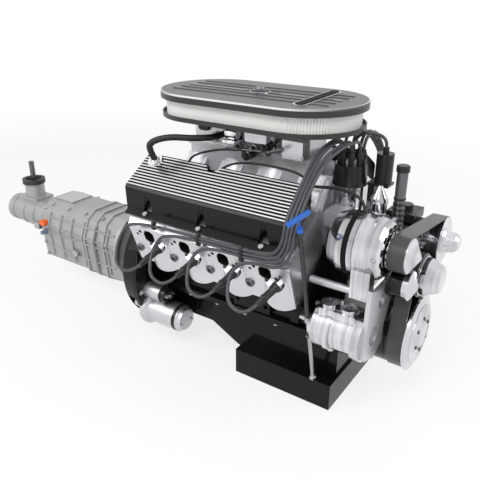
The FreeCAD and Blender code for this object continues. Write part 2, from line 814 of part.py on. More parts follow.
# Valve covers: tall shells with a sloped top, fins along it, a notch and bolt pockets
cover_section = [("cover_outer_y + 2", "rail_outer_z + 14 * cover_sin / cover_cos"),
                 ("cover_outer_y", "cover_outer_z - 4"),
                 ("cover_outer_y + 4", "cover_outer_z + 2"),
                 ("cover_inner_y", "cover_inner_z"),
                 ("cover_inner_y + 6", "cover_inner_z - 8"),
                 ("cover_inner_y + 7", "rail_inner_z - 9 * cover_sin / cover_cos")]
cover_hollow = [("cover_outer_y + 2 + cover_wall", "rail_outer_z - 20"),
                ("cover_outer_y + cover_wall", "cover_outer_z - 4 - cover_wall"),
                ("cover_inner_y - cover_wall", "cover_inner_z - cover_wall * 2"),
                ("cover_inner_y + 5 - cover_wall", "cover_inner_z - 10 - cover_wall"),
                ("cover_inner_y + 7 - cover_wall", "rail_inner_z - 40")]
flange_section = [("rail_outer_y", "rail_outer_z"),
                  ("rail_outer_y - cover_flange * cover_sin",
                   "rail_outer_z + cover_flange * cover_cos"),
                  ("rail_inner_y - cover_flange * cover_sin",
                   "rail_inner_z + cover_flange * cover_cos"),
                  ("rail_inner_y", "rail_inner_z")]
cover_body = profile("cover_body", cover_section, "cover_length", ("cover_rear", "0", "0"))
cover_foot = profile("cover_foot", flange_section, "cover_length - 12",
                     ("cover_rear + 6", "0", "0"))
SLOPE = (AHEAD, "cover_tilt")
fins = []
fin_pitch = "(cover_width - 14) / (fin_count - 1)"
for index in range(int(number("fin_count"))):
    along = "(5 + %d * %s)" % (index, fin_pitch)
    fins.append(box("fin%d" % index, ("cover_length - 4", "fin_width", "fin_height + 1"),
                    ("cover_rear + 2", "cover_outer_y + %s * cover_cos + cover_sin" % along,
                     "cover_outer_z + %s * cover_sin - cover_cos" % along), SLOPE))
pockets = []
cover_bolts = []
BOLT_SPOTS = ("70", "cover_length / 2 + 4", "cover_length - 56")
for spot in BOLT_SPOTS:
    pocket_x = "cover_rear + " + spot
    pockets.append(cone("pocket", "16", "4", "cover_outer_z - rail_outer_z - 8",
                        (pocket_x, "cover_outer_y - 6",
                         "rail_outer_z + cover_flange + 8"), UPRIGHT))
    for side_y, side_z, bolt_radius in (("rail_outer_y + 7", "rail_outer_z + 4.4", "6"),
                                        ("rail_inner_y + 0.5", "rail_inner_z + 0.42", "4.2")):
        cover_bolts.append(rod("cover_bolt", bolt_radius, "5",
                               (pocket_x, side_y + " - cover_flange * cover_sin",
                                side_z + " + cover_flange * cover_cos"), SLOPE))
notch = rod("cover_notch", "notch_radius", "40",
            ("cover_rear + cover_length * 0.45", "cover_inner_y + 14 * cover_sin",
             "cover_inner_z - 14 * cover_cos"), SLOPE)
hollow = profile("cover_hollow", cover_hollow, "cover_length - cover_wall * 2",
                 ("cover_rear + cover_wall", "0", "0"))
grommet_x = "cover_rear + 38"
grommet_y = "cover_outer_y + 88 * cover_cos"
grommet_z = "cover_outer_z + 88 * cover_sin"
grommet_seat = rod("grommet_seat", "grommet_radius + 2", "fin_height + 4",
                   (grommet_x, grommet_y, grommet_z), SLOPE)
grommet_hole = rod("grommet_hole", "grommet_radius - 5", "60",
                   (grommet_x, grommet_y + " + 30 * cover_sin", grommet_z + " - 30 * cover_cos"),
                   SLOPE)
cover_blank = fuse("cover_blank", [cover_body, cover_foot] + fins)
cover_right = cut("cover_right", fuse("cover_seated", [cover_blank, grommet_seat]),
                  [hollow, notch, grommet_hole] + pockets)
piece("valve_cover_right", cover_right)
piece("valve_cover_left", mirrored("cover_left", cover_right, "-bank_stagger"))
bolts_right = fuse("cover_bolts_right", cover_bolts)
engine_bolts = [bolts_right, mirrored("cover_bolts_left", bolts_right, "-bank_stagger")]

# Intake manifold: valley plate, eight runners, plenum and a water crossover in front
def face_at(rise):
    """A corner on the intake's side face, a given height above the head's inner edge."""
    return ("head_inner_y + intake_clearance + %d * face_lean" % rise,
            "head_inner_z + %d" % rise)


plate_half = [face_at(4), face_at(30), ("-70", "head_inner_z + 38")]
intake_parts = [profile("valley_plate", plate_half + flip(plate_half), "intake_length",
                        ("intake_rear", "0", "0"))]
runner_half = [("-100", "head_inner_z + 4"), face_at(4), face_at(46),
               ("-plenum_half_width - 22", "plenum_top - 62"),
               ("-plenum_half_width + 6", "plenum_top - 32"), ("-20", "plenum_top - 42")]
for side, turn, stagger, sign in BANKS:
    points = runner_half if side == "right" else flip(runner_half)
    for cylinder in CYLINDERS:
        intake_parts.append(rod("runner_back_%s%d" % (side, cylinder), "runner_width / 2 + 2", "95",
                                ("bore_first + bore_spacing * %d - %s" % (cylinder, stagger),
                                 sign + "(plenum_half_width + 35)", "plenum_top - 125"),
                                (AHEAD, "%s37" % sign)))
        intake_parts.append(profile("runner_%s%d" % (side, cylinder), points, "runner_width",
                                    ("bore_first + bore_spacing * %d - %s - runner_width / 2"
                                     % (cylinder, stagger), "0", "0")))
plenum_x = "lid_x - plenum_length / 2"
intake_parts.append(box("plenum", ("plenum_length", "plenum_half_width * 2", "plenum_top - 262"),
                        (plenum_x, "-plenum_half_width", "262")))
intake_parts.append(box("throttle_flange", ("plenum_length + 8", "plenum_half_width * 2 + 10", "9"),
                        (plenum_x + " - 4", "-plenum_half_width - 5", "plenum_top - 9")))
intake_parts.append(box("crossover", ("42", "60", "36"),
                        ("intake_front", "-64", "distributor_foot + 4")))
for end in ("intake_rear", "intake_front - 20"):
    intake_parts.append(box("end_rail", ("20", "120", "head_inner_z + 10 - valley_z"),
                            (end, "-60", "valley_z + seat_gap")))
intake_parts.append(box("distributor_deck", ("block_front - intake_front + 2", "110",
                                             "distributor_foot - valley_z - seat_gap"),
                        ("intake_front - 2", "-50", "valley_z + seat_gap")))
intake_parts.append(rod("lid_stud", "stud_radius", "lid_top + 14 - plenum_top + 1",
                        ("lid_x", "0", "plenum_top - 1"), UPRIGHT))
intake_tools = []
for step in ("-", "+"):
    for hand in ("-", ""):
        intake_tools.append(rod("plenum_bore", "throttle_bore", "60",
                                ("lid_x %s throttle_spacing / 2" % step,
                                 hand + "throttle_bore_offset", "plenum_top - 50"), UPRIGHT))
intake_tools.append(rod("distributor_relief", "distributor_body_radius + 1", "200",
                        ("distributor_at", "distributor_y", "distributor_foot"), UPRIGHT))
intake_tools.append(rod("stem_relief", "distributor_stem_radius + 0.5", "300",
                        ("distributor_at", "distributor_y", "cam_height"), UPRIGHT))
piece("intake_manifold", cut("intake", fuse("intake_blank", intake_parts), intake_tools))

# Two throttle bodies, each with two bores side by side and one shaft through both
for name, step in (("rear", "-"), ("front", "+")):
    middle = "lid_x %s throttle_spacing / 2" % step
    shaft_z = "plenum_top + throttle_height / 2"
    shells = [box("throttle_shell_" + name,
                  ("throttle_length", "throttle_half_width * 2", "throttle_height"),
                  (middle + " - throttle_length / 2", "-throttle_half_width", "plenum_top")),
              rod("throttle_shoulder_" + name, "throttle_half_width",
                  "tray_base - plenum_top - throttle_height",
                  (middle, "0", "plenum_top + throttle_height"), UPRIGHT),
              rod("throttle_ring_" + name, "throttle_half_width - 4",
                  "tray_base + 4 - plenum_top - throttle_height",
                  (middle, "0", "plenum_top + throttle_height"), UPRIGHT)]
    if name == "front":
        shells.append(box("throttle_motor", ("53", "34", "42"),
                          (middle + " + 30", "-throttle_half_width - 33", "plenum_top + 4")))
    tools = [rod("throttle_bore_" + name, "throttle_bore", "120",
                 (middle, hand + "throttle_bore_offset", "plenum_top - 5"), UPRIGHT)
             for hand in ("-", "")]
    tools.append(rod("shaft_bore_" + name, "throttle_shaft_radius + running_clearance",
                     "throttle_half_width * 2 + 2", (middle, "throttle_half_width + 1", shaft_z),
                     TO_RIGHT))
    piece("throttle_body_" + name, cut("throttle_cut_" + name,
                                       fuse("throttle_blank_" + name, shells), tools))
    shaft_set = [rod("throttle_rod_" + name, "throttle_shaft_radius",
                     "throttle_half_width * 2 + 14", (middle, "throttle_half_width + 1", shaft_z),
                     TO_RIGHT),
                 box("throttle_lever_" + name, ("10", "4", "26"),
                     (middle + " - 5", "-throttle_half_width - 9", shaft_z + " - 20"))]
    for hand in ("-", ""):
        shaft_set.append(rod("butterfly_" + name, "throttle_bore - butterfly_gap", "2",
                             (middle, hand + "throttle_bore_offset", shaft_z + " - 1"), UPRIGHT))
    piece("throttle_shaft_" + name, fuse("throttle_set_" + name, shaft_set))

# Fuel pressure regulator and sensor box on a shelf beside the throttle bodies
shelf_top = "plenum_top + shelf_height"
piece("fuel_regulator", fuse("regulator_set", [
    box("regulator_shelf", ("34", "58", "6"),
        ("datum + 218", "-throttle_half_width - 58", shelf_top + " - 6")),
    lathe("regulator", [("0", "0"), ("0", "9"), ("6", "9"), ("6", "16"), ("30", "16"),
                        ("34", "12"), ("34", "0")],
          ("datum + 218", "-throttle_half_width - 40", shelf_top + " + 15.5")),
    box("sensor_box", ("24", "40", "24"),
        ("datum + 226", "-throttle_half_width - 20", shelf_top + " - 8"))]))

# Air cleaner: tray, pleated filter, lid with ribs, and the nut on its stud
tray = cut("tray", stadium("tray_plate", "tray_length", "tray_width", "tray_top - tray_base",
                           ("lid_x", "0", "tray_base")),
           [stadium("tray_hollow", "tray_length - 6", "tray_width - 6", "20",
                    ("lid_x", "0", "tray_base + 4")),
            rod("stud_hole", "stud_radius + seat_gap", "20", ("lid_x", "0", "tray_base - 5"), UPRIGHT),
            rod("tray_hole_rear", "throttle_half_width - 4 + seat_gap", "20",
                ("lid_x - throttle_spacing / 2", "0", "tray_base - 5"), UPRIGHT),
            rod("tray_hole_front", "throttle_half_width - 4 + seat_gap", "20",
                ("lid_x + throttle_spacing / 2", "0", "tray_base - 5"), UPRIGHT)])
piece("air_cleaner_tray", tray)
piece("air_filter", cut("filter_ring",
      stadium("filter_outer", "filter_length", "filter_width",
              "lid_top - lid_sheet - tray_base - 4", ("lid_x", "0", "tray_base + 4")),
      [stadium("filter_inner", "filter_length - filter_thickness * 2",
               "filter_width - filter_thickness * 2", "90", ("lid_x", "0", "tray_base"))]))
lid_ribs = []
for index in range(int(number("lid_rib_count"))):
    lid_ribs.append(box("lid_rib%d" % index, ("lid_length - 110", "4", "2"),
                        ("lid_x - (lid_length - 110) / 2",
                         "(%d - (lid_rib_count - 1) / 2) * 34 - 2" % index, "lid_top")))
lid_blank = fuse("lid_blank", [stadium("lid_plate", "lid_length", "lid_width", "lid_height",
                                      ("lid_x", "0", "lid_base"))] + lid_ribs)
piece("air_cleaner_lid", cut("lid", lid_blank,
      [stadium("lid_hollow", "lid_length - lid_sheet * 2", "lid_width - lid_sheet * 2",
               "lid_height - lid_sheet + 1", ("lid_x", "0", "lid_base - 1")),
       rod("lid_hole", "stud_radius + seat_gap", "20", ("lid_x", "0", "lid_top - 10"), UPRIGHT)]))
piece("lid_nut", lathe("nut",
      [("0", "stud_radius + running_clearance"), ("0", "22"), ("4", "22"), ("7", "14"),
       ("13", "12"), ("13", "stud_radius + running_clearance")],
      ("lid_x", "0", "lid_top + 2"), REARWARD))

# Oil pan: rail, shallow body and the wide box of the sump, all thin sheet
pan_start = "block_rear"
rail_z = "-rail_drop - pan_rail"


def pan_shapes(name, inset, lift):
    """The pan's four volumes, set in from their outside by the sheet."""
    low = "-pan_shallow_depth + %s" % inset
    shallow = box(name + "_shallow",
                  ("timing_front - block_rear - 2 * %s" % inset,
                   "(pan_body_half_width - %s) * 2" % inset,
                   "pan_shallow_depth - rail_drop - %s + %s" % (inset, lift)),
                  (pan_start + " + " + inset, "-pan_body_half_width + " + inset, low))
    sump = box(name + "_sump",
               ("timing_front - box_start - 2 * %s" % inset,
                "(pan_body_half_width - %s) * 2" % inset,
                "pan_box_depth - rail_drop - %s + %s" % (inset, lift)),
               ("box_start + " + inset, "-pan_body_half_width + " + inset,
                "-pan_box_depth + " + inset))
    wide = box(name + "_wide", ("pan_box_length - 2 * %s" % inset,
                                "(pan_box_half_width - %s) * 2" % inset,
                                "pan_box_height - 2 * %s" % inset),
               ("box_start + " + inset, "-pan_box_half_width + " + inset,
                "-pan_box_depth + " + inset))
    ramp = profile(name + "_ramp",
                   [("box_start - pan_ramp_length", "-rail_drop - 30"),
                    ("box_start - pan_ramp_length", low),
                    ("box_start - pan_ramp_length * 3 / 4", low + " - pan_ramp_drop / 4"),
                    ("box_start - pan_ramp_length / 4", low + " - pan_ramp_drop * 3 / 4"),
                    ("box_start + 10", low + " - pan_ramp_drop"),
                    ("box_start + 10", "-rail_drop - 30")],
                   "(pan_body_half_width - %s) * 2" % inset,
                   ("0", "pan_body_half_width - " + inset, "0"), "XZ_Plane")
    return [shallow, sump, wide, ramp]


pan_rail_plate = box("pan_rail_plate",
                     ("block_length + timing_depth", "rail_half_width * 2", "pan_rail"),
                     (pan_start, "-rail_half_width", rail_z))
pan_blank = fuse("pan_blank", pan_shapes("pan", "0", "0") + [pan_rail_plate])
pan_inside = fuse("pan_inside", pan_shapes("pan_in", "pan_sheet", "40"))
piece("oil_pan", cut("pan", pan_blank,
      [pan_inside, rod("pan_seal_rear", "main_radius + 0.5", "20", ("block_rear - 5", "0", "0"))]))
pan_bolts = []
for index in range(6):
    for sign in ("-", ""):
        pan_bolts.append(hexagon("pan_bolt", "7", "6",
                                 ("block_rear + 30 + %d * (block_length - 60) / 5" % index,
                                  sign + "(rail_half_width - 10)", rail_z + " - 6"), UPRIGHT))
pan_bolts.append(hexagon("drain_plug", "11", "8",
                         ("box_start - 8", "40", "-pan_box_depth + 22"), FORWARD))
piece("engine_bolts", group("bolt_set", engine_bolts + pan_bolts))

# Timing cover: a shallow case over the chain
timing_half = [("-timing_half_width", "-rail_drop"), ("-timing_half_width", "60"),
               ("-64", "timing_top")]
timing_in = [("-timing_half_width + timing_wall", "-rail_drop - 1"),
             ("-timing_half_width + timing_wall", "58"), ("-61", "timing_top - timing_wall")]
timing_body = profile("timing_body", timing_half + flip(timing_half), "timing_depth",
                      ("block_front", "0", "0"))
timing_space = profile("timing_space", timing_in + flip(timing_in), "timing_depth - timing_wall + 1",
                       ("block_front - 1", "0", "0"))
piece("timing_cover", cut("timing", timing_body,
      [timing_space,
       rod("timing_seal", "nose_radius + seat_gap", "60", ("block_front", "0", "0"))]))

# Damper, crank pulley and its polished ring, all keyed to the nose
damper = lathe("damper",
      [("-26", "nose_radius"), ("damper_width", "nose_radius"),
       ("damper_width", "damper_radius - 2"), ("damper_width - 2", "damper_radius"),
       ("2", "damper_radius"), ("0", "damper_radius - 2"), ("0", "damper_radius - 20"),
       ("10", "damper_radius - 24"), ("10", "36"), ("-26", "30")],
      ("damper_rear", "0", "0"))
crank_wheel = lathe("crank_wheel",
      [("-4", "nose_radius"), ("pulley_width", "nose_radius"),
       ("pulley_width", "crank_pulley_radius"), ("-4", "crank_pulley_radius")],
      ("belt_rear", "0", "0"))
crank_ring = lathe("ring",
      [("-2", "nose_radius"), ("16", "nose_radius"), ("16", "34"),
       ("9", "crank_ring_radius - 14"), ("4", "crank_ring_radius"),
       ("-2", "crank_ring_radius")],
      ("belt_front", "0", "0"))
piece("crank_pulley", fuse("crank_drive", [damper, crank_wheel, crank_ring]))


def pulley(name, radius, at, cone_length, shaft_back):
    """A wheel with a raised front rim, a pointed cover and its shaft behind."""
    x, y, z = at
    return lathe(name, [("-" + shaft_back, "0"), ("-" + shaft_back, "accessory_shaft_radius"),
                        ("0", "accessory_shaft_radius"), ("0", radius + " + 3"),
                        ("2", radius + " + 3"), ("2", radius), ("pulley_width - 3", radius),
                        ("pulley_width - 3", radius + " + 3"), ("pulley_width", radius + " + 3"),
                        ("pulley_width + %s" % cone_length, "4"),
                        ("pulley_width + %s" % cone_length, "0")],
                 (x, y, z))


# Water pump: housing, snout and hose nozzle; its wheel carries the stepped nose
pump_body = fuse("pump_blank", [
    rod("pump_case", "pump_body_radius", "40", ("timing_front", "0", "pump_axis_z")),
    cone("pump_neck", "pump_body_radius - 6", "26", "14", ("timing_front + 40", "0", "pump_axis_z")),
    box("filler_arm", ("62", "36", "12"), ("timing_front + 34", "-42", "pump_axis_z + 26")),
    rod("pump_snout", "20", "belt_rear - timing_front - 44", ("timing_front + 40", "0",
                                                             "pump_axis_z")),
    rod("pump_inlet", "20", "62", ("timing_front + 20", "pump_body_radius - 14",
                                   "pump_axis_z - 26"), TO_LEFT)])
piece("water_pump", cut("pump", pump_body, [
    rod("pump_bore", "pump_shaft_radius + running_clearance", "200",
        ("timing_front + 12", "0", "pump_axis_z")),
    rod("pump_nozzle_bore", "16", "60", ("timing_front + 20", "pump_body_radius - 8",
                                         "pump_axis_z - 26"), TO_LEFT)]))
piece("water_pump_pulley", lathe("pump_wheel",
      [("timing_front + 13 - belt_rear", "0"), ("timing_front + 13 - belt_rear", "pump_shaft_radius"),
       ("0", "pump_shaft_radius"), ("0", "pump_pulley_radius"), ("pulley_width", "pump_pulley_radius"),
       ("pulley_width", "44"), ("pulley_width + 12", "44"), ("pulley_width + 40", "31"),
       ("pulley_width + 42", "28"), ("pulley_width + 42", "0")], ("belt_rear", "0", "pump_axis_z")))

# Alternator: two-part polished case with a dark gap, and a wheel on its rotor shaft
alternator_at = ("alternator_rear", "alternator_axis_y", "alternator_axis_z")
alternator_case = fuse("alternator_blank", [
    lathe("alternator_case",
          [("0", "0"), ("0", "44"), ("12", "62"), ("34", "alternator_radius - 2"),
           ("70", "alternator_radius - 2"), ("70", "alternator_radius - 6"),
           ("74", "alternator_radius - 6"), ("74", "alternator_radius"),
           ("104", "alternator_radius"), ("alternator_length - 10", "alternator_radius - 8"),
           ("alternator_length", "54"), ("alternator_length", "0")], alternator_at),
    box("alternator_foot", ("bracket_rear - alternator_rear - 76", "28", "66"),
        ("alternator_rear + 76", "alternator_foot_y", "alternator_axis_z - 93")),
    box("alternator_ear", ("20", "22", "30"),
        ("alternator_rear + 84", "alternator_axis_y - 40", "alternator_axis_z + 50"))])
vents = [box("vent", ("20", "9", "20"),
             ("alternator_rear + alternator_length - 18",
              "alternator_axis_y + 38 * cos(%d) - 4.5" % (60 * index),
              "alternator_axis_z + 38 * sin(%d) - 10" % (60 * index)))
         for index in range(6)]
piece("alternator", cut("alternator_cut", alternator_case, vents + [
    rod("alternator_bore", "accessory_shaft_radius + running_clearance", "200",
        ("alternator_rear + 20", "alternator_axis_y", "alternator_axis_z"))]))
piece("alternator_pulley", pulley("alternator_wheel", "alternator_pulley_radius",
      ("belt_rear", "alternator_axis_y", "alternator_axis_z"), "20",
      "(belt_rear - alternator_rear - 22)"))

# Front bracket plate on its two stand-off rods, with the idler's bore
bracket_points = [("idler_axis_y + 26", "idler_axis_z - 30"),
                  ("idler_axis_y + 26", "idler_axis_z + 22"),
                  ("alternator_axis_y + 10", "alternator_axis_z - alternator_radius - 2"),
                  ("alternator_foot_y + 30", "alternator_axis_z - alternator_radius - 2"),
                  ("alternator_foot_y - 4", "alternator_axis_z - alternator_radius + 10"),
                  ("compressor_axis_y - 34", "compressor_axis_z + 50"),
                  ("compressor_axis_y - 34", "compressor_axis_z - 40"),
                  ("compressor_axis_y + 20", "compressor_axis_z - 60"),
                  ("-crank_ring_radius - 12", "compressor_axis_z - 40"),
                  ("-crank_ring_radius - 10", "compressor_axis_z + 4")]
bracket_plate = cut("bracket_plate", profile("bracket_blank", bracket_points, "10",
                                             ("bracket_rear", "0", "0")),
      [rod("bracket_window", "22", "30", ("bracket_rear - 10", "compressor_axis_y + 6",
                                          "compressor_axis_z + 4")),
       rod("bracket_slot", "16", "30", ("bracket_rear - 10", "idler_axis_y - 44",
                                        "idler_axis_z - 30")),
       rod("bracket_idler", "accessory_shaft_radius + running_clearance", "30",
           ("bracket_rear - 10", "idler_axis_y", "idler_axis_z"))])
spacers = [rod("spacer_upper", "9", "alternator_rear + 76 - block_front",
               ("block_front", "-178", "164")),
           rod("spacer_lower", "8", "compressor_rear - datum - 458",
               ("datum + 458", "-skirt_half_width - 24", "skirt_height + 2"))]
piece("accessory_bracket", group("bracket_set", [bracket_plate] + spacers))
piece("idler_pulley", pulley("idler_wheel", "idler_radius", ("belt_rear", "idler_axis_y",
                                                            "idler_axis_z"), "14", "16"))

# Air-conditioning compressor behind the bracket, with its two-eyed port plate
compressor_length = "(bracket_rear - compressor_rear)"
compressor = fuse("compressor_blank", [
    lathe("compressor_case",
          [("0", "0"), ("0", "46"), ("8", "compressor_radius - 4"),
           ("40", "compressor_radius - 4"), ("40", "compressor_radius"), ("52", "compressor_radius"),
           ("52", "compressor_radius - 6"), (compressor_length + " - 20", "compressor_radius - 6"),
           (compressor_length + " - 20", "compressor_radius"),
           (compressor_length, "compressor_radius"), (compressor_length, "0")],
          ("compressor_rear", "compressor_axis_y", "compressor_axis_z")),
    box("compressor_deck", ("84", "40", "18"),
        ("compressor_rear + 20", "compressor_axis_y - 34", "compressor_axis_z + 40"))])
eye_z = "compressor_axis_z + 58"
port_plate = cut("port_plate", fuse("port_plate_blank", [
    rod("eye_rear", "19", "10", ("compressor_rear + 36", "compressor_axis_y - 14", eye_z), UPRIGHT),
    rod("eye_front", "19", "10", ("compressor_rear + 82", "compressor_axis_y - 14", eye_z), UPRIGHT),
    box("eye_bridge", ("46", "16", "10"),
        ("compressor_rear + 36", "compressor_axis_y - 8", eye_z))]),
    [rod("eye_hole", "6", "30", ("compressor_rear + %d" % along, "compressor_axis_y - 14", eye_z),
         UPRIGHT) for along in (36, 82)])
piece("compressor", fuse("compressor_set", [compressor, port_plate]))

# Power-steering pump on the left, bolted to the timing cover, with its reservoir on top
steering_pump = fuse("steering_blank", [
    rod("steering_case", "44", "74", ("belt_rear - 88", "steering_axis_y", "steering_axis_z")),
    box("steering_arm", ("20", "steering_axis_y - pump_body_radius - seat_gap - 24", "40"),
        ("timing_front + 16", "pump_body_radius + seat_gap", "steering_axis_z - 40")),
    box("steering_leg", ("20", "30", "38"),
        ("timing_front", "pump_body_radius + seat_gap", "steering_axis_z - 38")),
    box("reservoir_tank", ("70", "74", "22"),
        ("belt_rear - 96", "steering_axis_y - 40", "steering_axis_z + 40")),
    rod("reservoir_cap", "16", "12", ("belt_rear - 60", "steering_axis_y",
                                      "steering_axis_z + 62"), UPRIGHT)])
piece("power_steering_pump", cut("steering_cut", steering_pump, [
    rod("steering_bore", "accessory_shaft_radius + running_clearance", "80",
        ("belt_rear - 66", "steering_axis_y", "steering_axis_z"))]))
piece("steering_pulley", lathe("steering_wheel_disc",
      [("-60", "0"), ("-60", "accessory_shaft_radius"), ("0", "accessory_shaft_radius"),
       ("0", "steering_radius + 3"), ("2", "steering_radius + 3"), ("2", "steering_radius"),
       ("pulley_width - 3", "steering_radius"), ("pulley_width - 3", "steering_radius + 3"),
       ("pulley_width", "steering_radius + 3"), ("pulley_width", "34"), ("pulley_width + 6", "29"),
       ("pulley_width + 28", "23"), ("pulley_width + 36", "15"), ("pulley_width + 36", "0")],
      ("belt_rear", "steering_axis_y", "steering_axis_z")))

# Serpentine belt: its back runs on the idler and the water pump, its ribs on the other wheels
belt_seat = number("belt_seat")
belt_circles = [
    (0, 0, number("crank_pulley_radius") + belt_seat, 1),
    (number("idler_axis_y"), number("idler_axis_z"),
     number("idler_radius") + belt_seat + number("belt_thickness"), -1),
    (number("alternator_axis_y"), number("alternator_axis_z"),
     number("alternator_pulley_radius") + belt_seat, 1),
    (number("steering_axis_y"), number("steering_axis_z"), number("steering_radius") + belt_seat, 1),
    (0, number("pump_axis_z"),
     number("pump_pulley_radius") + belt_seat + number("belt_thickness"), -1),
]
piece("serpentine_belt", band("belt", belt_circles,
                              number("belt_middle") - number("belt_width") / 2,
                              number("belt_width"), number("belt_thickness")))

# Thermostat housing on the crossover, with the upper hose neck
piece("thermostat_housing", cut("thermostat", fuse("thermostat_blank", [
    box("thermostat_base", ("16", "60", "36"),
        ("intake_front + 42", "-64", "distributor_foot + 4")),
    rod("thermostat_arm", "15", "44", ("intake_front + 56", "-20", "distributor_foot + 22")),
    rod("thermostat_neck", "22", "66", ("intake_front + 108", "-20", "distributor_foot + 8"),
        UPRIGHT)]),
    [rod("thermostat_bore", "18", "60", ("intake_front + 108", "-20", "distributor_foot + 40"),
         UPRIGHT)]))

# Distributor: housing, cap with nine towers, and the shaft with its rotor arm
at_distributor = ("distributor_at", "distributor_y")
housing = cut("distributor_cut", fuse("distributor_blank", [
    rod("distributor_stem", "distributor_stem_radius", "distributor_foot - cam_height - 30",
        at_distributor + ("cam_height + 30",), UPRIGHT),
    rod("distributor_collar", "distributor_body_radius - 12", "20",
        at_distributor + ("distributor_foot",), UPRIGHT),
    rod("distributor_bowl", "distributor_body_radius", "distributor_body_height - 20",
        at_distributor + ("distributor_foot + 20",), UPRIGHT)]), [
    rod("distributor_shaft_bore", "distributor_shaft_radius + running_clearance", "300",
        at_distributor + ("cam_height",), UPRIGHT)])
piece("distributor_housing", housing)


def tower_at(index):
    """The axis of one of the cap's towers: eight in a ring, and the ninth in the middle."""
    if index == 8:
        return at_distributor
    angle = 45 * index + 22.5
    return ("distributor_at + tower_ring * cos(%.1f)" % angle,
            "distributor_y + tower_ring * sin(%.1f)" % angle)


towers = []
for index in range(9):
    towers.append(rod("tower%d" % index, "6", "tower_height + 1",
                      tower_at(index) + ("tower_base - 1",), UPRIGHT))
cap_shell = cone("cap_shell", "distributor_cap_radius", "distributor_cap_radius - 4",
                 "distributor_cap_height", at_distributor + ("distributor_top + 0",), UPRIGHT)
piece("distributor_cap", cut("distributor_cap_cut", fuse("cap_blank", [cap_shell] + towers), [
    rod("cap_hollow", "distributor_cap_radius - 8", "distributor_cap_height - 10",
        at_distributor + ("distributor_top",), UPRIGHT)]))
piece("distributor_rotor", fuse("rotor", [
    rod("rotor_shaft", "distributor_shaft_radius", "distributor_top + 20 - cam_height + 9",
        at_distributor + ("cam_height - 9",), UPRIGHT),
    rod("rotor_gear", "distributor_stem_radius + 0.6", "18",
        at_distributor + ("cam_height - 9",), UPRIGHT),
    box("rotor_arm", ("36", "12", "8"),
        ("distributor_at - 8", "distributor_y - 6", "distributor_top + 14"))]))

# Ignition coil on a post that stands on the timing cover
coil_at = ("timing_front + 14", "46")
coil_z = "distributor_foot + 96"
piece("ignition_coil", fuse("coil", [
    box("coil_post", ("16", "24", "distributor_foot + 90 - timing_top"),
        ("timing_front - 17", "34", "timing_top")),
    box("coil_foot", ("51", "40", "6"), ("timing_front - 17", "26", coil_z + " - 6")),
    rod("coil_can", "20", "70", coil_at + (coil_z,), UPRIGHT),
    rod("coil_tower", "7", "14", coil_at + (coil_z + " + 70",), UPRIGHT)]))

# Oil filler tube with its cap, on the arm of the water pump
filler_at = ("timing_front + 81", "-24")
filler_base = "pump_axis_z + 38"
piece("oil_filler_tube", cut("filler_tube", rod("filler_outside", "12", "202",
                                                filler_at + (filler_base,), UPRIGHT),
      [rod("filler_bore", "10", "200", filler_at + (filler_base + " + 4",), UPRIGHT)]))
piece("oil_filler_cap", lathe("filler_cap",
      [("-10", "0"), ("-10", "9.7"), ("0", "9.7"), ("0", "14.5"), ("12", "14.5"), ("14", "12"),
       ("14", "0")], filler_at + (filler_base + " + 202",), REARWARD))

# Dipstick tube, leaning out from the sump in front of the head, and the stick with its handle
STICK_LINE = V(18, -135, 437)
STICK_TURN = FreeCAD.Rotation(V(0, 0, 1), STICK_LINE)
STICK_LEAN = [step / STICK_LINE.Length for step in STICK_LINE]


def up_stick(along):
    """A point on the dipstick's line, a given way up from the sump."""
    starts = ("stick_base_x", "stick_y", "box_top")
    return tuple("%s + (%s) * (%.6f)" % (start, along, lean)
                 for start, lean in zip(starts, STICK_LEAN))


piece("dipstick_tube", cut("stick_tube",
      rod("stick_tube_outside", "5", "stick_tube_length - 1.8", up_stick("1.8"), STICK_TURN),
      [rod("stick_tube_bore", "3", "stick_tube_length", up_stick("4"), STICK_TURN)]))
grip_x, grip_y, grip_z = up_stick("stick_tube_length + 41.6")
piece("dipstick", fuse("stick", [
    rod("stick_rod", "2", "440", up_stick("stick_tube_length - 400"), STICK_TURN),
    rod("stick_stop", "6.5", "18", up_stick("stick_tube_length"), STICK_TURN),
    rod("stick_grip", "6", "stick_grip_length",
        (grip_x, grip_y + " + stick_grip_length / 2", grip_z), TO_RIGHT)]))

# Starter: nose, motor, end cap; the solenoid rides above
starter = lathe("starter",
      [("0", "0"), ("0", "14"), ("48", "14"), ("48", "starter_radius + 6"),
       ("54 + plate_thickness", "starter_radius + 6"),
       ("54 + plate_thickness", "starter_radius + 9.5"),
       ("66", "starter_radius + 9.5"), ("74", "starter_radius"),
       ("46 + starter_length", "starter_radius"), ("50 + starter_length", "starter_radius - 4"),
       ("58 + starter_length", "starter_radius - 8"), ("58 + starter_length", "0")],
      ("bell_front - 54", "starter_y", "starter_z"))
solenoid = lathe("solenoid",
      [("0", "0"), ("0", "solenoid_radius"), ("solenoid_length", "solenoid_radius"),
       ("solenoid_length", "solenoid_radius - 3"), ("solenoid_length + 16", "solenoid_radius - 3"),
       ("solenoid_length + 16", "6"), ("solenoid_length + 28", "6"),
       ("solenoid_length + 28", "0")], ("bell_front - 6", "solenoid_y", "solenoid_z"))
saddle = box("starter_saddle", ("40", "22", "30"),
             ("bell_front + 6", "starter_y - 14", "starter_z + starter_radius - 8"))
piece("starter_motor", fuse("starter_set", [starter, solenoid, saddle]))

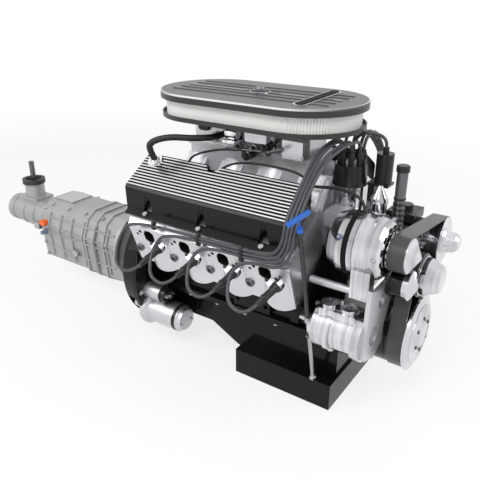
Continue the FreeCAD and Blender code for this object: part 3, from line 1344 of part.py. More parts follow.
# Block plate and bellhousing
plate_ring = rod("plate_disc", "bell_front_radius", "plate_thickness", ("bell_front", "0", "0"))
piece("block_plate", cut("plate", plate_ring, [
    rod("plate_hole", "main_radius + 6", "20", ("bell_front - 5", "0", "0")),
    rod("plate_starter", "starter_radius + 6.5", "20", ("bell_front - 5", "starter_y", "starter_z")),
    rod("plate_solenoid", "solenoid_radius + 2", "20",
        ("bell_front - 5", "solenoid_y", "solenoid_z"))]))
bell_outside = lathe("bell_outside",
      [("0", "70"), ("0", "bell_rear_radius"), ("12", "bell_rear_radius"),
       ("bell_length - 60", "bell_front_radius - 14"), ("bell_length - 10", "bell_front_radius - 10"),
       ("bell_length - 10", "bell_front_radius"), ("bell_length", "bell_front_radius"),
       ("bell_length", "bell_front_radius - 24"), ("bell_length - 58", "bell_front_radius - 26"),
       ("14", "bell_rear_radius - bell_wall"), ("8", "70")], ("case_front", "0", "0"))
piece("bellhousing", cut("bell", bell_outside, [
    rod("bell_starter", "starter_radius + 8", "80", ("bell_front - 60", "starter_y", "starter_z")),
    rod("bell_solenoid", "solenoid_radius + 2", "60",
        ("bell_front - 16", "solenoid_y", "solenoid_z"))]))

# Gearbox: ribbed case, tail housing, shifter turret and lever, plugs and sensors
case_half = [("-40", "-case_bottom"), ("-case_half_width + 10", "-case_bottom + 34"),
             ("-case_half_width", "20"), ("-case_half_width + 22", "case_top - 20"),
             ("-46", "case_top")]
case_body = profile("case_body", case_half + flip(case_half), "case_length",
                    ("tail_length", "0", "0"))
rib_half = [("-40", "-case_bottom - 5"), ("-case_half_width + 5", "-case_bottom + 32"),
            ("-case_half_width - 5", "20"), ("-case_half_width + 19", "case_top - 17"),
            ("-46", "case_top + 5")]
ribs = [profile("case_rib%d" % index, rib_half + flip(rib_half), "7",
                ("tail_length + 212 + 42 * %d" % index, "0", "0")) for index in range(3)]
case_flange = rod("case_flange", "bell_rear_radius - 2", "14", ("case_front - 14", "0", "0"))
long_rib = box("long_rib", ("case_length - 20", "case_half_width * 2 + 8", "5"),
               ("tail_length + 10", "-case_half_width - 4", "18"))
gear_shaft_bore = rod("gear_bore", "output_radius + running_clearance", "case_length + 90",
                      ("tail_length - 40", "0", "0"))
piece("gearbox_case", cut("case", fuse("case_blank", [case_body, case_flange, long_rib] + ribs),
                          [gear_shaft_bore]))
tail = fuse("tail_blank", [
    cone("tail_cone", "tail_radius", "tail_radius + 14", "tail_length - 24", ("24", "0", "0")),
    rod("tail_nose", "tail_radius + 2", "26", ("0", "0", "0")),
    box("tail_deck", ("tail_length - 60", "60", "34"), ("60", "-30", "tail_radius - 22"))])
piece("gearbox_tail", cut("tail", tail, [
    rod("tail_mouth", "output_radius + 13", "output_stub + 15", ("-10", "0", "0")),
    rod("tail_tunnel", "output_radius + running_clearance", "tail_length + 20",
        ("-10", "0", "0"))]))
piece("output_shaft", lathe("output",
      [("0", "0"), ("0", "output_radius"), ("output_stub", "output_radius"),
       ("output_stub", "output_radius - 1"), ("output_stub + 5", "output_radius - 1"),
       ("output_stub + 5", "output_radius"), ("tail_length + 80", "output_radius"),
       ("tail_length + 80", "0")], ("0", "0", "0")))
turret_x = "turret_offset"
piece("shifter_turret", cut("turret", fuse("turret_blank", [
    box("turret_base", ("100", "74", "8"), (turret_x + " - 50", "-37", "tail_radius + 12")),
    rod("turret_tower", "turret_radius - 6", "turret_height - 20",
        (turret_x, "0", "tail_radius + 20"), UPRIGHT),
    rod("turret_collar", "turret_radius", "16", (turret_x, "0", "tail_radius + turret_height"),
        UPRIGHT)]),
    [cone("turret_mouth", "lever_radius + 8", "lever_radius + 20", "40",
          (turret_x, "0", "mouth_floor"), UPRIGHT)]))
lever_pivot = (turret_x, "0", "lever_height")
lever_ball = doc.addObject("Part::Sphere", "lever_ball")
lever_ball.setExpression("Radius", formula("lever_radius + 4"))
piece("shift_lever", fuse("lever", [
    rod("lever_stub", "lever_radius", "lever_length", lever_pivot, UPRIGHT),
    rod("lever_pin", "3", "36", (turret_x, "18", "lever_height"), TO_RIGHT),
    seat(lever_ball, lever_pivot)]))
piece("gearbox_fittings", group("fitting_set", [
    box("top_plate", ("84", "84", "5"), ("tail_length + 20", "-42", "case_top")),
    hexagon("fill_plug", "12", "12", ("tail_length + 166", "-case_half_width + 4.4", "-44"), TO_RIGHT),
    hexagon("drain_bolt", "9", "10", ("tail_length + 198", "-30", "-case_bottom - 10"), UPRIGHT),
    rod("sensor_body", "12", "30", ("tail_length - 20", "-tail_radius - 13.6", "10"), TO_RIGHT),
    box("sensor_plug", ("26", "20", "22"), ("tail_length - 33", "-tail_radius - 60", "-1"))]))


def bent_tube(name, points, radius, sides=6):
    """A flexible line: straight runs joined by the largest arcs that its points allow."""
    corners = [V(*point) for point in points]
    edges = []
    start = corners[0]
    for index in range(1, len(corners) - 1):
        corner = corners[index]
        back = corners[index - 1] - corner
        ahead = corners[index + 1] - corner
        half_turn = (math.pi - back.getAngle(ahead)) / 2
        reach = 0.45 * min(back.Length, ahead.Length)
        bend = reach / math.tan(half_turn)
        bends.append((bend, name, index))
        back.normalize()
        ahead.normalize()
        inward = back + ahead
        inward.normalize()
        first = corner + back * reach
        last = corner + ahead * reach
        middle = corner + inward * (bend / math.cos(half_turn) - bend)
        edges.append(Part.LineSegment(start, first).toShape())
        edges.append(Part.Arc(first, middle, last).toShape())
        start = last
    edges.append(Part.LineSegment(start, corners[-1]).toShape())
    heading = corners[1] - corners[0]
    heading.normalize()
    side = heading.cross(V(0.3, 1, 0.2))
    side.normalize()
    ring = []
    for step in range(sides + 1):
        turn = FreeCAD.Rotation(heading, 360 * step / sides)
        ring.append(corners[0] + turn.multVec(side) * radius)
    thing = doc.addObject("Part::Feature", name)
    thing.Shape = Part.Wire(edges).makePipeShell([Part.makePolygon(ring)], True, False)
    return thing


# Plug leads: a boot on each plug, a loop, a run under the cover, then up to the cap's tower
doc.recompute()
bends = []
boot_parts = []
boot_way = PLUG_TURN.multVec(V(0, 0, 1))
for cylinder in CYLINDERS:
    seat_x = plug_seat[0] % port_x(cylinder)
    start = [words + " + 13 * (%.6f)" % way
             for words, way in zip((seat_x, plug_seat[1], plug_seat[2]), boot_way)]
    boot_parts.append(cut("boot%d" % cylinder,
                          rod("boot_outside", "boot_radius", "boot_reach - 13", start, PLUG_TURN),
                          [rod("boot_hole", "5.5 + seat_gap", "18", start, PLUG_TURN)]))
boots_right = group("boots_right", boot_parts)
lead_parts = [boots_right, mirrored("boots_left", boots_right, "-bank_stagger")]
for index in range(9):
    lead_parts.append(rod("tower_boot%d" % index, "8", "18",
                          tower_at(index) + ("tower_base + tower_height",), UPRIGHT))
lead_start = number("tower_base") + number("tower_height") + 18
lead_line = number("lead_line_out")
lead_top = number("lead_top")
for hand, stagger in ((-1, 0), (1, number("bank_stagger"))):
    for cylinder in CYLINDERS:
        x = (number("bore_first") + number("bore_spacing") * cylinder - stagger + 38
             + boot_way.x * number("boot_reach"))
        out = -number("port_y") - 9 - boot_way.y * number("boot_reach")
        z = number("port_z") - 16 + boot_way.z * number("boot_reach")
        line_z = number("lead_line_z") - number("lead_pitch") * cylinder
        rise_x = (number("cover_rear") + number("cover_length") - stagger + 6
                  + number("lead_pitch") * cylinder)
        angle = math.radians(22.5 + 45 * (3 - cylinder))
        tower_x = number("distributor_at") + number("tower_ring") * math.cos(angle)
        tower_out = hand * number("distributor_y") + number("tower_ring") * math.sin(angle)
        route = [(x, out, z),
                 (x + 34 * boot_way.x, out - 34 * boot_way.y, z + 34 * boot_way.z),
                 (x - 50, out + 32, z - 4),
                 (x - 68, out + 14, z + 20),
                 (x - 74, out - 10, z + 54),
                 (x - 48, lead_line, line_z),
                 (rise_x - 34, lead_line, line_z),
                 (rise_x, lead_line + 4, line_z + 36),
                 (rise_x, lead_line - 8, line_z + 92),
                 (rise_x, 205, 396),
                 ((rise_x + tower_x) / 2, 130, lead_top - 4),
                 (tower_x, tower_out + 26, lead_top),
                 (tower_x, tower_out + 5, lead_top - 11),
                 (tower_x, tower_out, lead_start)]
        points = [(across, hand * reach, height) for across, reach, height in route]
        lead_parts.append(bent_tube("lead_%d_%d" % (hand + 1, cylinder), points,
                                    number("lead_radius")))
cap_x = number("distributor_at")
cap_y = number("distributor_y")
coil_x = number("timing_front") + 14
coil_top = number("distributor_foot") + 96 + 70 + 14
lead_parts.append(bent_tube("coil_lead", [(coil_x, 46, coil_top), (coil_x, 46, coil_top + 16),
                                          (coil_x - 20, 41, coil_top + 29),
                                          (cap_x + 26, cap_y + 5, coil_top + 29),
                                          (cap_x + 5, cap_y + 1, lead_start + 26),
                                          (cap_x, cap_y, lead_start)], number("lead_radius")))
piece("plug_leads", group("plug_lead_set", lead_parts))

# Breather hose: from the grommet on the right cover over to the rear throttle body
rise = number("fin_height") + 4
lean = math.radians(number("cover_tilt"))
hose_x = number("cover_rear") + 38
hose_y = number("cover_outer_y") + 88 * math.cos(lean)
hose_z = number("cover_outer_z") + 88 * math.sin(lean)
throttle_side = -number("throttle_half_width")
hose_points = [(hose_x, hose_y - along * math.sin(lean), hose_z + along * math.cos(lean))
               for along in (rise, rise + 34)]
hose_points += [(hose_x + 12, hose_y - 12, hose_z + 66), (hose_x + 46, hose_y + 14, hose_z + 76),
                (hose_x + 88, hose_y + 46, hose_z + 70),
                (hose_x + 120, throttle_side - 38, hose_z + 62),
                (hose_x + 120, throttle_side, hose_z + 62)]
piece("breather_hose", bent_tube("breather_line", hose_points, number("hose_radius"), 10))
print("least bend:", [(round(bend), name, index) for bend, name, index in sorted(bends)[:12]])

doc.recompute()

# Every object must have worked out before anything is written
for thing in doc.Objects:
    if "Invalid" in thing.State or "Error" in thing.State:
        raise RuntimeError("not worked out: " + thing.Name)
for node in nodes:
    if node.Shape.isNull() or not node.Shape.isValid():
        raise RuntimeError("no valid shape: " + node.Label)

os.makedirs("parts", exist_ok=True)
for node in nodes:
    node.Shape.exportStep("parts/%s.step" % node.Label)
print("pieces:", len(nodes))
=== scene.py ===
import math

import bmesh
import bpy
from bpy.props import FloatProperty, FloatVectorProperty, IntProperty, PointerProperty
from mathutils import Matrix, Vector


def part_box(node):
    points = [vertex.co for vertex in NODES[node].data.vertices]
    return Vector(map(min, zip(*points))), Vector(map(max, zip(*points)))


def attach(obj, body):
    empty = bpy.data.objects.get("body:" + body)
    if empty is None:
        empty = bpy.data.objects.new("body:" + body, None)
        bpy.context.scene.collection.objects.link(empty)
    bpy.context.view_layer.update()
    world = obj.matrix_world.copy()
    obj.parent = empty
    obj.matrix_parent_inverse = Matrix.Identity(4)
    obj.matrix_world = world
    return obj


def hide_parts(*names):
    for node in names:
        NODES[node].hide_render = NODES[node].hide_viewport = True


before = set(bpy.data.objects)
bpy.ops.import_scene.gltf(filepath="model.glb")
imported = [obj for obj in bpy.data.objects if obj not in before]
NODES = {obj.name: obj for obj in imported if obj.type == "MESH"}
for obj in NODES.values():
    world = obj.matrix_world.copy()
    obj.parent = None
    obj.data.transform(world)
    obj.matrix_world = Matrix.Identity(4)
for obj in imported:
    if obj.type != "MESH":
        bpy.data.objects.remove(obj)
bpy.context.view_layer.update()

bl_info = {
    "name": "V8 engine finish",
    "version": (1, 0, 0),
    "blender": (4, 5, 0),
    "location": "View3D > Sidebar > Engine",
    "description": "Dresses the packed engine with its finishes and fine detail",
    "category": "Object",
}

AHEAD = Vector((1, 0, 0))
LEFT = Vector((0, 1, 0))
UP = Vector((0, 0, 1))

# Places of the engine's own pieces, in metres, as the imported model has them. Rows: BANKS (name,
# side, stagger), LEAD_CLIPS (along, low, high), LINKS and STICK_NUTS (place, radius, length)
BANKS = (("right", -1, 0.0), ("left", 1, -0.022))
PORT_FIRST = 0.918
PORT_PITCH = 0.11125
PORT_OUT = 0.261
PORT_HEIGHT = 0.1935
PORT_TILT = math.radians(20)
PORT_DEPTH = 0.033
PORT_BOLTS = ((-0.0265, 0.010), (0.0265, -0.010))
PORT_OUTLINE = ((-0.016, -0.012), (-0.008, -0.018), (0.008, -0.018), (0.016, -0.006),
                (0.016, 0.012), (0.008, 0.018), (-0.008, 0.018), (-0.016, 0.006))
COVER_TILT = math.radians(32)
COVER_FRONT = 1.300
COVER_OUT = 0.256
COVER_EDGE = 0.312
STICK_FOOT = Vector((1.321, -0.137, -0.131))
STICK_LINE = Vector((18, -135, 437)).normalized()
STICK_NUTS = ((-0.1312, 0.0095, 0.012), (0.066, 0.0078, 0.014))
PLUG_SEAT = Vector((PORT_FIRST + 0.038, 0.252, 0.1775))
PLUG_WAY = Vector((-0.35, 0.80, -0.49)).normalized()
BOOT_OFF = 0.013
LEAD_OFF = 0.072
LEAD_ROUTE = ((-0.0119, 0.0272, -0.0166), (-0.050, 0.032, -0.004), (-0.068, 0.014, 0.020),
              (-0.074, -0.010, 0.054))
LEAD_CLIPS = ((0.955, 0.218, 0.240), (1.088, 0.211, 0.240), (1.205, 0.204, 0.240))
COIL_LEAD = ((1.380, 0.046, 0.420), (1.380, 0.046, 0.436), (1.360, 0.041, 0.449),
             (1.330, 0.035, 0.449), (1.309, 0.031, 0.434), (1.304, 0.030, 0.408))
LEAD_OUT = 0.281
LEAD_LEVEL = 0.241
LEAD_GAP = 0.007
CAP_AT = Vector((1.304, 0.030, 0.388))
TOWERS = 8
TOWER_RING = 0.026
TOWER_ANGLE = math.tau / TOWERS
HOSE_MOUTH = Vector((0.882, -0.1814, 0.3586))
HOSE_ROUTE = ((0.886, -0.2030, 0.4130), (0.918, -0.1730, 0.4240), (0.965, -0.1370, 0.4190),
              (1.002, -0.098, 0.4186), (1.002, -0.060, 0.4206))
LINE_RADIUS = 0.0028
WIRE_RADIUS = 0.0036
LINE_FEET = ((0.925, -0.112, 0.45), (1.020, -0.112, 0.45), (1.268, -0.100, 0.45),
             (1.240, -0.085, 0.45))
REAR_LINE = ((0.926, -0.116, 0.345), (0.950, -0.120, 0.372), (1.003, -0.120, 0.391),
             (1.048, -0.118, 0.401), (1.088, -0.112, 0.403), (1.100, -0.090, 0.405))
FRONT_LINE = ((1.026, -0.120, 0.340), (1.050, -0.125, 0.361), (1.087, -0.125, 0.376),
              (1.136, -0.125, 0.383), (1.202, -0.125, 0.383), (1.244, -0.122, 0.379),
              (1.268, -0.112, 0.362))
WIRE_ROUTE = ((1.250, -0.092, 0.342), (1.291, -0.100, 0.348), (1.327, -0.100, 0.354),
              (1.368, -0.102, 0.351), (1.400, -0.108, 0.340))
LINKS = (((1.066, -0.088, 0.405), 0.0085, 0.010), ((1.088, -0.088, 0.398), 0.0105, 0.008),
         ((1.112, -0.090, 0.408), 0.0090, 0.012), ((1.150, -0.088, 0.402), 0.0080, 0.014),
         ((1.176, -0.088, 0.410), 0.0070, 0.010))
LONG_ROD_AT = (1.040, -0.1065, 0.4010)
SHORT_ROD_AT = (1.160, -0.110, 0.408)
SENSORS = (((1.098, -0.078, 0.391), 0.0125), ((1.146, -0.078, 0.417), 0.0115))
CASE_RIBS = (0.300, 0.355, 0.410, 0.465, 0.520, 0.575)
AHEAD_OF_ALL = 1.60
SLOTS = 12
SLOT_CIRCLE = 0.052
CASE_BOLT_CIRCLE = 0.066
DISC_BOLT_CIRCLE = 0.040
NECK_AT = (1.398, -0.016, 0.3135)
TUBE_RINGS = 9
TUBE_RING_FIRST = 0.235
TUBE_RING_PITCH = 0.012
SOLENOID_AT = Vector((0.856, -0.158, -0.034))
STARTER_BAND_AT = (0.903, -0.148, -0.097)
STRAP_AT = (0.7998, 0, 0)
BELL_FACE = 0.8005
BELL_CIRCLE = 0.192
LID_CENTRE = 1.067
LID_TOP = 0.519
LID_STRAIGHT = 0.126
LID_HALF = 0.146
# Stretches along the lid where a painted highlight runs down its middle
LID_HIGHLIGHT_DASHES = ((0.800, 1.030), (1.125, 1.190), (1.265, 1.325))
BAR_AT = (1.2233, 0.0022, LID_TOP)
BAR_ALONG = (-0.033, 0.999, 0)
BAR_BACK = (-0.999, -0.033, 0)

# Least turn of a sharp edge, and how deep small things sink
SHARP_EDGE = math.radians(35)
SUNK = 0.0006

# Profiles of turned pieces, as (along, radius); one that ends where it starts is a ring
LID_RING = ((0, 0.0235), (0, 0.0262), (0.0022, 0.0262), (0.0030, 0.0250), (0.0022, 0.0235),
            (0, 0.0235))
PLUG_BOOT = ((0, 0.0065), (0, 0.0105), (0.006, 0.0105), (0.010, 0.0088), (0.034, 0.0084),
             (0.036, 0.0094), (0.040, 0.0094), (0.042, 0.0080), (0.058, 0.0066), (0.060, 0.0))
TOWER_BOOT = ((0, 0.0064), (0, 0.0085), (0.012, 0.0085), (0.015, 0.0072), (0.020, 0.0062),
              (0.0205, 0.0))
ROUND_NUT = ((-0.001, 0), (-0.001, 0.0105), (0.004, 0.0105), (0.005, 0.0095), (0.005, 0.0060),
             (0.0015, 0.0055), (0.0015, 0))
LINE_FITTING = ((-0.004, 0), (-0.004, 0.0062), (0.006, 0.0062), (0.008, 0.0048),
                (0.012, 0.0044), (0.012, 0))
GROMMET = ((0.0, 0.0085), (0.0, 0.0205), (0.004, 0.0205), (0.006, 0.0185), (0.006, 0.0150),
           (0.004, 0.0140), (0.004, 0.0120), (0.010, 0.0110), (0.011, 0.0085), (0.0, 0.0085))
SHORT_ROD = ((0, 0), (0, 0.0045), (0.006, 0.0045), (0.007, 0.0026), (0.034, 0.0026),
             (0.035, 0.0040), (0.041, 0.0040), (0.041, 0))
GEARBOX_SENSOR = ((-0.006, 0), (-0.006, 0.009), (0.014, 0.009), (0.016, 0.007), (0.026, 0.007),
                  (0.027, 0.0))
CRANK_DISC = ((-0.010, 0), (-0.010, 0.074), (-0.0052, 0.074), (-0.0042, 0.072),
              (-0.0008, 0.052), (-0.0020, 0.050), (0.0005, 0.031), (0.0025, 0.028),
              (0.0030, 0.026), (0.0030, 0))
NECK_CONE = ((-0.003, 0), (-0.003, 0.0205), (0.004, 0.0205), (0.010, 0.0175), (0.032, 0.0060),
             (0.036, 0.0045), (0.037, 0.0))
SOLENOID_CAP = ((0, 0), (0, 0.0236), (0.004, 0.0236), (0.005, 0.0216), (0.018, 0.0212),
                (0.019, 0.0190), (0.019, 0))
STARTER_BAND = ((0, 0.036), (0, 0.0386), (0.0115, 0.0386), (0.0125, 0.036), (0, 0.036))
STRAP_OUTLINE = ((-0.197, 0.085), (-0.179, 0.085), (-0.163, 0.030), (-0.168, -0.012),
                 (-0.184, -0.012), (-0.199, 0.030))

# Floor, lamps (name, place, aim, size, power) and the camera of the photograph
FLOOR = -0.2035
FLOOR_REACH = 30.0
LAMPS = (("key", (1.6, -2.2, 2.6), (1.0, 0, 0.15), 1.2, 48.0),
         ("fill", (3.4, 0.6, 1.6), (1.1, 0, 0.15), 1.4, 22.0),
         ("rear", (-0.6, -2.0, 1.8), (0.7, 0, 0.1), 1.2, 22.0))
CAMERA_AT = (1.8212, -1.1797, 0.7512)
CAMERA_TURN = (math.radians(90 - 24.04), 0.0, math.radians(34.59))
CAMERA_LENS = 42.516


# Shader maths

class Value:
    """A shader socket that can stand in a sum."""

    def __init__(self, finish, socket):
        self.finish = finish
        self.socket = socket

    def work(self, operation, first, second=0.0):
        return self.finish.node("ShaderNodeMath", {"operation": operation},
                                {0: first, 1: second})

    def __add__(self, other):
        return self.work("ADD", self, other)

    __radd__ = __add__

    def __sub__(self, other):
        return self.work("SUBTRACT", self, other)

    def __rsub__(self, other):
        return self.work("SUBTRACT", other, self)

    def __mul__(self, other):
        return self.work("MULTIPLY", self, other)

    __rmul__ = __mul__

    def __pow__(self, other):
        return self.work("POWER", self, other)

    def __gt__(self, other):
        return self.work("GREATER_THAN", self, other)

    def __lt__(self, other):
        return self.work("LESS_THAN", self, other)

    def __abs__(self):
        return self.work("ABSOLUTE", self)


class Nodes:
    """Adds nodes to one tree."""

    def __init__(self, tree):
        self.tree = tree
        tree.nodes.clear()

    def put(self, socket, value):
        if isinstance(value, Value):
            self.tree.links.new(value.socket, socket)
        else:
            socket.default_value = value

    def node(self, kind, settings=None, inputs=None, output=0):
        """Add a node, with its settings first and then the values or links of its sockets."""
        node = self.tree.nodes.new(kind)
        for name, value in (settings or {}).items():
            setattr(node, name, value)
        for name, value in (inputs or {}).items():
            self.put(node.inputs[name], value)
        return Value(self, node.outputs[output]) if node.outputs else None

    def seen(self):
        """1 for the camera and for what mirrors, 0 for light that falls on the object."""
        outputs = self.node("ShaderNodeLightPath").socket.node.outputs
        rays = [Value(self, outputs["Is %s Ray" % kind])
                for kind in ("Camera", "Glossy", "Transmission")]
        return self.work_max(self.work_max(rays[0], rays[1]), rays[2])

    def work_max(self, first, second):
        return first.work("MAXIMUM", first, second)


class Finish(Nodes):
    """One material: a principled shader and the nodes that vary it."""

    def __init__(self, name, base, metallic, roughness, **constants):
        self.material = bpy.data.materials.new(name)
        self.material.use_nodes = True
        super().__init__(self.material.node_tree)
        self.shader = self.tree.nodes.new("ShaderNodeBsdfPrincipled")
        output = self.tree.nodes.new("ShaderNodeOutputMaterial")
        self.tree.links.new(self.shader.outputs[0], output.inputs["Surface"])
        self.put(self.shader.inputs["Base Color"], tuple(base) + (1.0,))
        self.put(self.shader.inputs["Metallic"], metallic)
        self.put(self.shader.inputs["Roughness"], roughness)
        for socket, value in constants.items():
            self.put(self.shader.inputs[socket.replace("_", " ")], value)

    def place(self):
        """Where a point lies on the engine at rest."""
        return self.node("ShaderNodeTexCoord", output=3)

    def split(self, vector):
        parts = self.node("ShaderNodeSeparateXYZ", inputs={0: vector})
        outputs = parts.socket.node.outputs
        return [Value(self, outputs[index]) for index in range(3)]

    def noise(self, scale, detail, stretch=(1.0, 1.0, 1.0)):
        spot = self.node("ShaderNodeMapping", inputs={0: self.place(), 3: stretch})
        return self.node("ShaderNodeTexNoise", inputs={"Vector": spot, "Scale": scale,
                                                       "Detail": detail})

    def step(self, value, low, high):
        """Rise smoothly from 0 to 1 between two values."""
        return self.node("ShaderNodeMapRange", {"interpolation_type": "SMOOTHSTEP"},
                         {"Value": value, "From Min": low, "From Max": high})

    def mix(self, factor, first, second):
        def colour(value):
            return value if isinstance(value, Value) else tuple(value) + (1.0,)
        return self.node("ShaderNodeMix", {"data_type": "RGBA"},
                         {0: factor, 6: colour(first), 7: colour(second)}, output=2)

    def vary(self, socket, value):
        """Let a value change one input of the shader over the surface."""
        self.put(self.shader.inputs[socket], value)

    def bump(self, height, strength, distance):
        self.vary("Normal", self.node("ShaderNodeBump", inputs={
            "Strength": strength, "Distance": distance, "Height": height}))


def shade(colour, amount):
    """A colour made darker or lighter."""
    return tuple(min(1.0, part * amount) for part in colour)


# Finishes

def cast_metal(name, base, roughness, metallic, grain=900.0, depth=0.0004):
    """Cast aluminium: a sandy skin with faint cloudy tone."""
    finish = Finish(name, base, metallic, roughness)
    cloud = finish.noise(14.0, 4.0)
    sand = finish.noise(grain, 2.0)
    finish.vary("Base Color", finish.mix(cloud, shade(base, 0.78), shade(base, 1.12)))
    finish.vary("Roughness", roughness - 0.08 + 0.18 * cloud)
    finish.bump(sand, 0.35, depth)
    return finish.material


def polished_metal(name, base, roughness):
    """Machined and polished metal: fine turning marks, slightly hazier spots, and dark and bright
    reflections painted into its colour as soft patches and as turning rings.
    """
    finish = Finish(name, base, 1.0, roughness)
    marks = finish.noise(420.0, 2.0)
    # Broad spots that are a little rougher, and that also paint dark and bright reflections into
    # the colour
    haze_and_reflection = finish.step(finish.noise(16.0, 2.0, (0.5, 1.0, 1.0)), 0.26, 0.74)
    # Turning rings along the axis, whose dark and bright bands also paint banded reflections into
    # the colour
    rings = finish.step(finish.noise(90.0, 2.0, (1.0, 0.06, 0.06)), 0.36, 0.66)
    finish.vary("Roughness", roughness * 0.7 + 0.1 * haze_and_reflection + 0.05 * marks)
    # Painted reflections: dark and bright copies of the metal's colour, mixed by the spots and
    # the rings
    finish.vary("Base Color", finish.mix(0.5 * haze_and_reflection + 0.5 * rings, shade(base, 0.56),
                                         shade(base, 1.2)))
    finish.bump(marks, 0.06, 0.0002)
    return finish.material


def paint(name, base, roughness, texture=260.0):
    """Black engine paint: a slight orange peel, duller where it gathers dust."""
    finish = Finish(name, base, 0.0, roughness, Specular_IOR_Level=0.2)
    peel = finish.noise(texture, 2.0)
    dust = finish.noise(7.0, 4.0)
    finish.vary("Roughness", roughness - 0.06 + 0.16 * dust)
    finish.vary("Base Color", finish.mix(dust, base, shade(base, 1.6)))
    finish.bump(peel, 0.12, 0.0002)
    return finish.material


def soft_black(name, base, roughness):
    """Rubber and plastic, and the near-black of painted shade: a fine grain and a slightly worn
    tone.
    """
    finish = Finish(name, base, 0.0, roughness, Specular_IOR_Level=0.35)
    grain = finish.noise(700.0, 2.0)
    worn = finish.noise(30.0, 3.0)
    finish.vary("Base Color", finish.mix(worn, base, shade(base, 1.6)))
    finish.vary("Roughness", roughness - 0.07 + 0.14 * worn)
    finish.bump(grain, 0.2, 0.0002)
    return finish.material


def steel(name, base=(0.50, 0.50, 0.52), roughness=0.3):
    """Plated or ground steel with fine scratches."""
    finish = Finish(name, base, 1.0, roughness)
    scratch = finish.noise(260.0, 3.0, (1.0, 6.0, 6.0))
    finish.vary("Roughness", roughness - 0.06 + 0.16 * scratch)
    finish.vary("Base Color", finish.mix(scratch, shade(base, 0.8), shade(base, 1.15)))
    finish.bump(scratch, 0.1, 0.0002)
    return finish.material


def two_tone(name, low_base, low_metal, high_base, high_metal, roughness, border, axis=2):
    """One piece of two stuffs that meet at a place on an axis."""
    finish = Finish(name, low_base, low_metal, roughness, Specular_IOR_Level=0.4)
    grain = finish.noise(500.0, 2.0)
    tone = finish.noise(25.0, 3.0)
    high = finish.split(finish.place())[axis] > border
    low_colour = finish.mix(tone, shade(low_base, 0.85), shade(low_base, 1.15))
    high_colour = finish.mix(tone, shade(high_base, 0.85), shade(high_base, 1.15))
    finish.vary("Base Color", finish.mix(high, low_colour, high_colour))
    finish.vary("Metallic", low_metal + (high_metal - low_metal) * high)
    finish.vary("Roughness", roughness - 0.05 + 0.12 * tone)
    finish.bump(grain, 0.15, 0.0002)
    return finish.material


def cover_paint(name, base):
    """Gloss black cover whose fin tops are machined bright."""
    finish = Finish(name, base, 0.0, 0.2, Specular_IOR_Level=0.24)
    _, across, up = finish.split(finish.place())
    above = ((abs(across) - COVER_OUT) * math.sin(COVER_TILT)
             + (up - COVER_EDGE) * math.cos(COVER_TILT))
    bright = finish.step(above, 0.0024, 0.0028)
    marks = finish.noise(600.0, 2.0, (0.05, 1.0, 1.0))
    peel = finish.noise(240.0, 2.0)
    finish.vary("Base Color", finish.mix(bright, base, (0.86, 0.87, 0.88)))
    finish.vary("Metallic", bright)
    finish.vary("Roughness", 0.2 + 0.06 * bright + 0.1 * marks)
    finish.bump(peel * (1.0 - bright) + marks * bright, 0.1, 0.0002)
    return finish.material


def lid_paint(name, base):
    """Grey-black brushed lid, with light painted into its colour: painted highlights as a bright
    line round its top edge and a broken one down its middle, a painted shade line beside the
    middle, and its top painted lighter than its skirt, which is painted dark as shade.
    """
    finish = Finish(name, base, 0.0, 0.36, Specular_IOR_Level=0.45)
    along, across, up = finish.split(finish.place())
    beyond = finish.work_max(abs(along - LID_CENTRE) - LID_STRAIGHT, 0.0)
    reach = (beyond * beyond + across * across) ** 0.5
    top = up > LID_TOP - 0.004
    # A painted highlight: a thin bright line round the top edge
    rim = (finish.step(reach, LID_HALF - 0.0030, LID_HALF - 0.0024)
           * finish.step(LID_HALF - reach, 0.0, 0.0006) * top)
    # A painted highlight: a broken bright line down the middle of the top
    highlight_dashes = sum((along > start) * (along < end) for start, end in LID_HIGHLIGHT_DASHES)
    line = highlight_dashes * (abs(across) < 0.0016) * (up > LID_TOP + 0.001)
    # A painted shade line on the top, just beside the middle
    groove_shade = (abs(across - 0.006) < 0.0022) * top
    # Where the painted highlights lie, coloured pale and partly metallic
    bright = finish.work_max(rim, line)
    brushed = finish.noise(700.0, 3.0, (0.03, 1.0, 1.0))
    tone = finish.mix(brushed, shade(base, 0.6), shade(base, 1.7))
    # Lit and shaded copies: the skirt and the shade line are painted dark, the top keeps its
    # lighter brushed tone
    flat = finish.mix(top * (1.0 - groove_shade), shade(base, 0.25), tone)
    finish.vary("Base Color", finish.mix(bright, flat, (0.85, 0.86, 0.87)))
    finish.vary("Metallic", 0.35 * top + 0.6 * bright)
    finish.vary("Roughness", 0.32 + 0.1 * brushed)
    finish.bump(brushed, 0.25, 0.0003)
    return finish.material


def pleated_paper(name, base):
    """Filter paper behind a fine wire mesh."""
    finish = Finish(name, base, 0.0, 0.85)
    fibre = finish.noise(900.0, 3.0)
    stain = finish.noise(20.0, 3.0)
    finish.vary("Base Color", finish.mix(stain, shade(base, 0.9), base))
    finish.bump(fibre, 0.3, 0.0003)
    return finish.material


FINISHES = {}


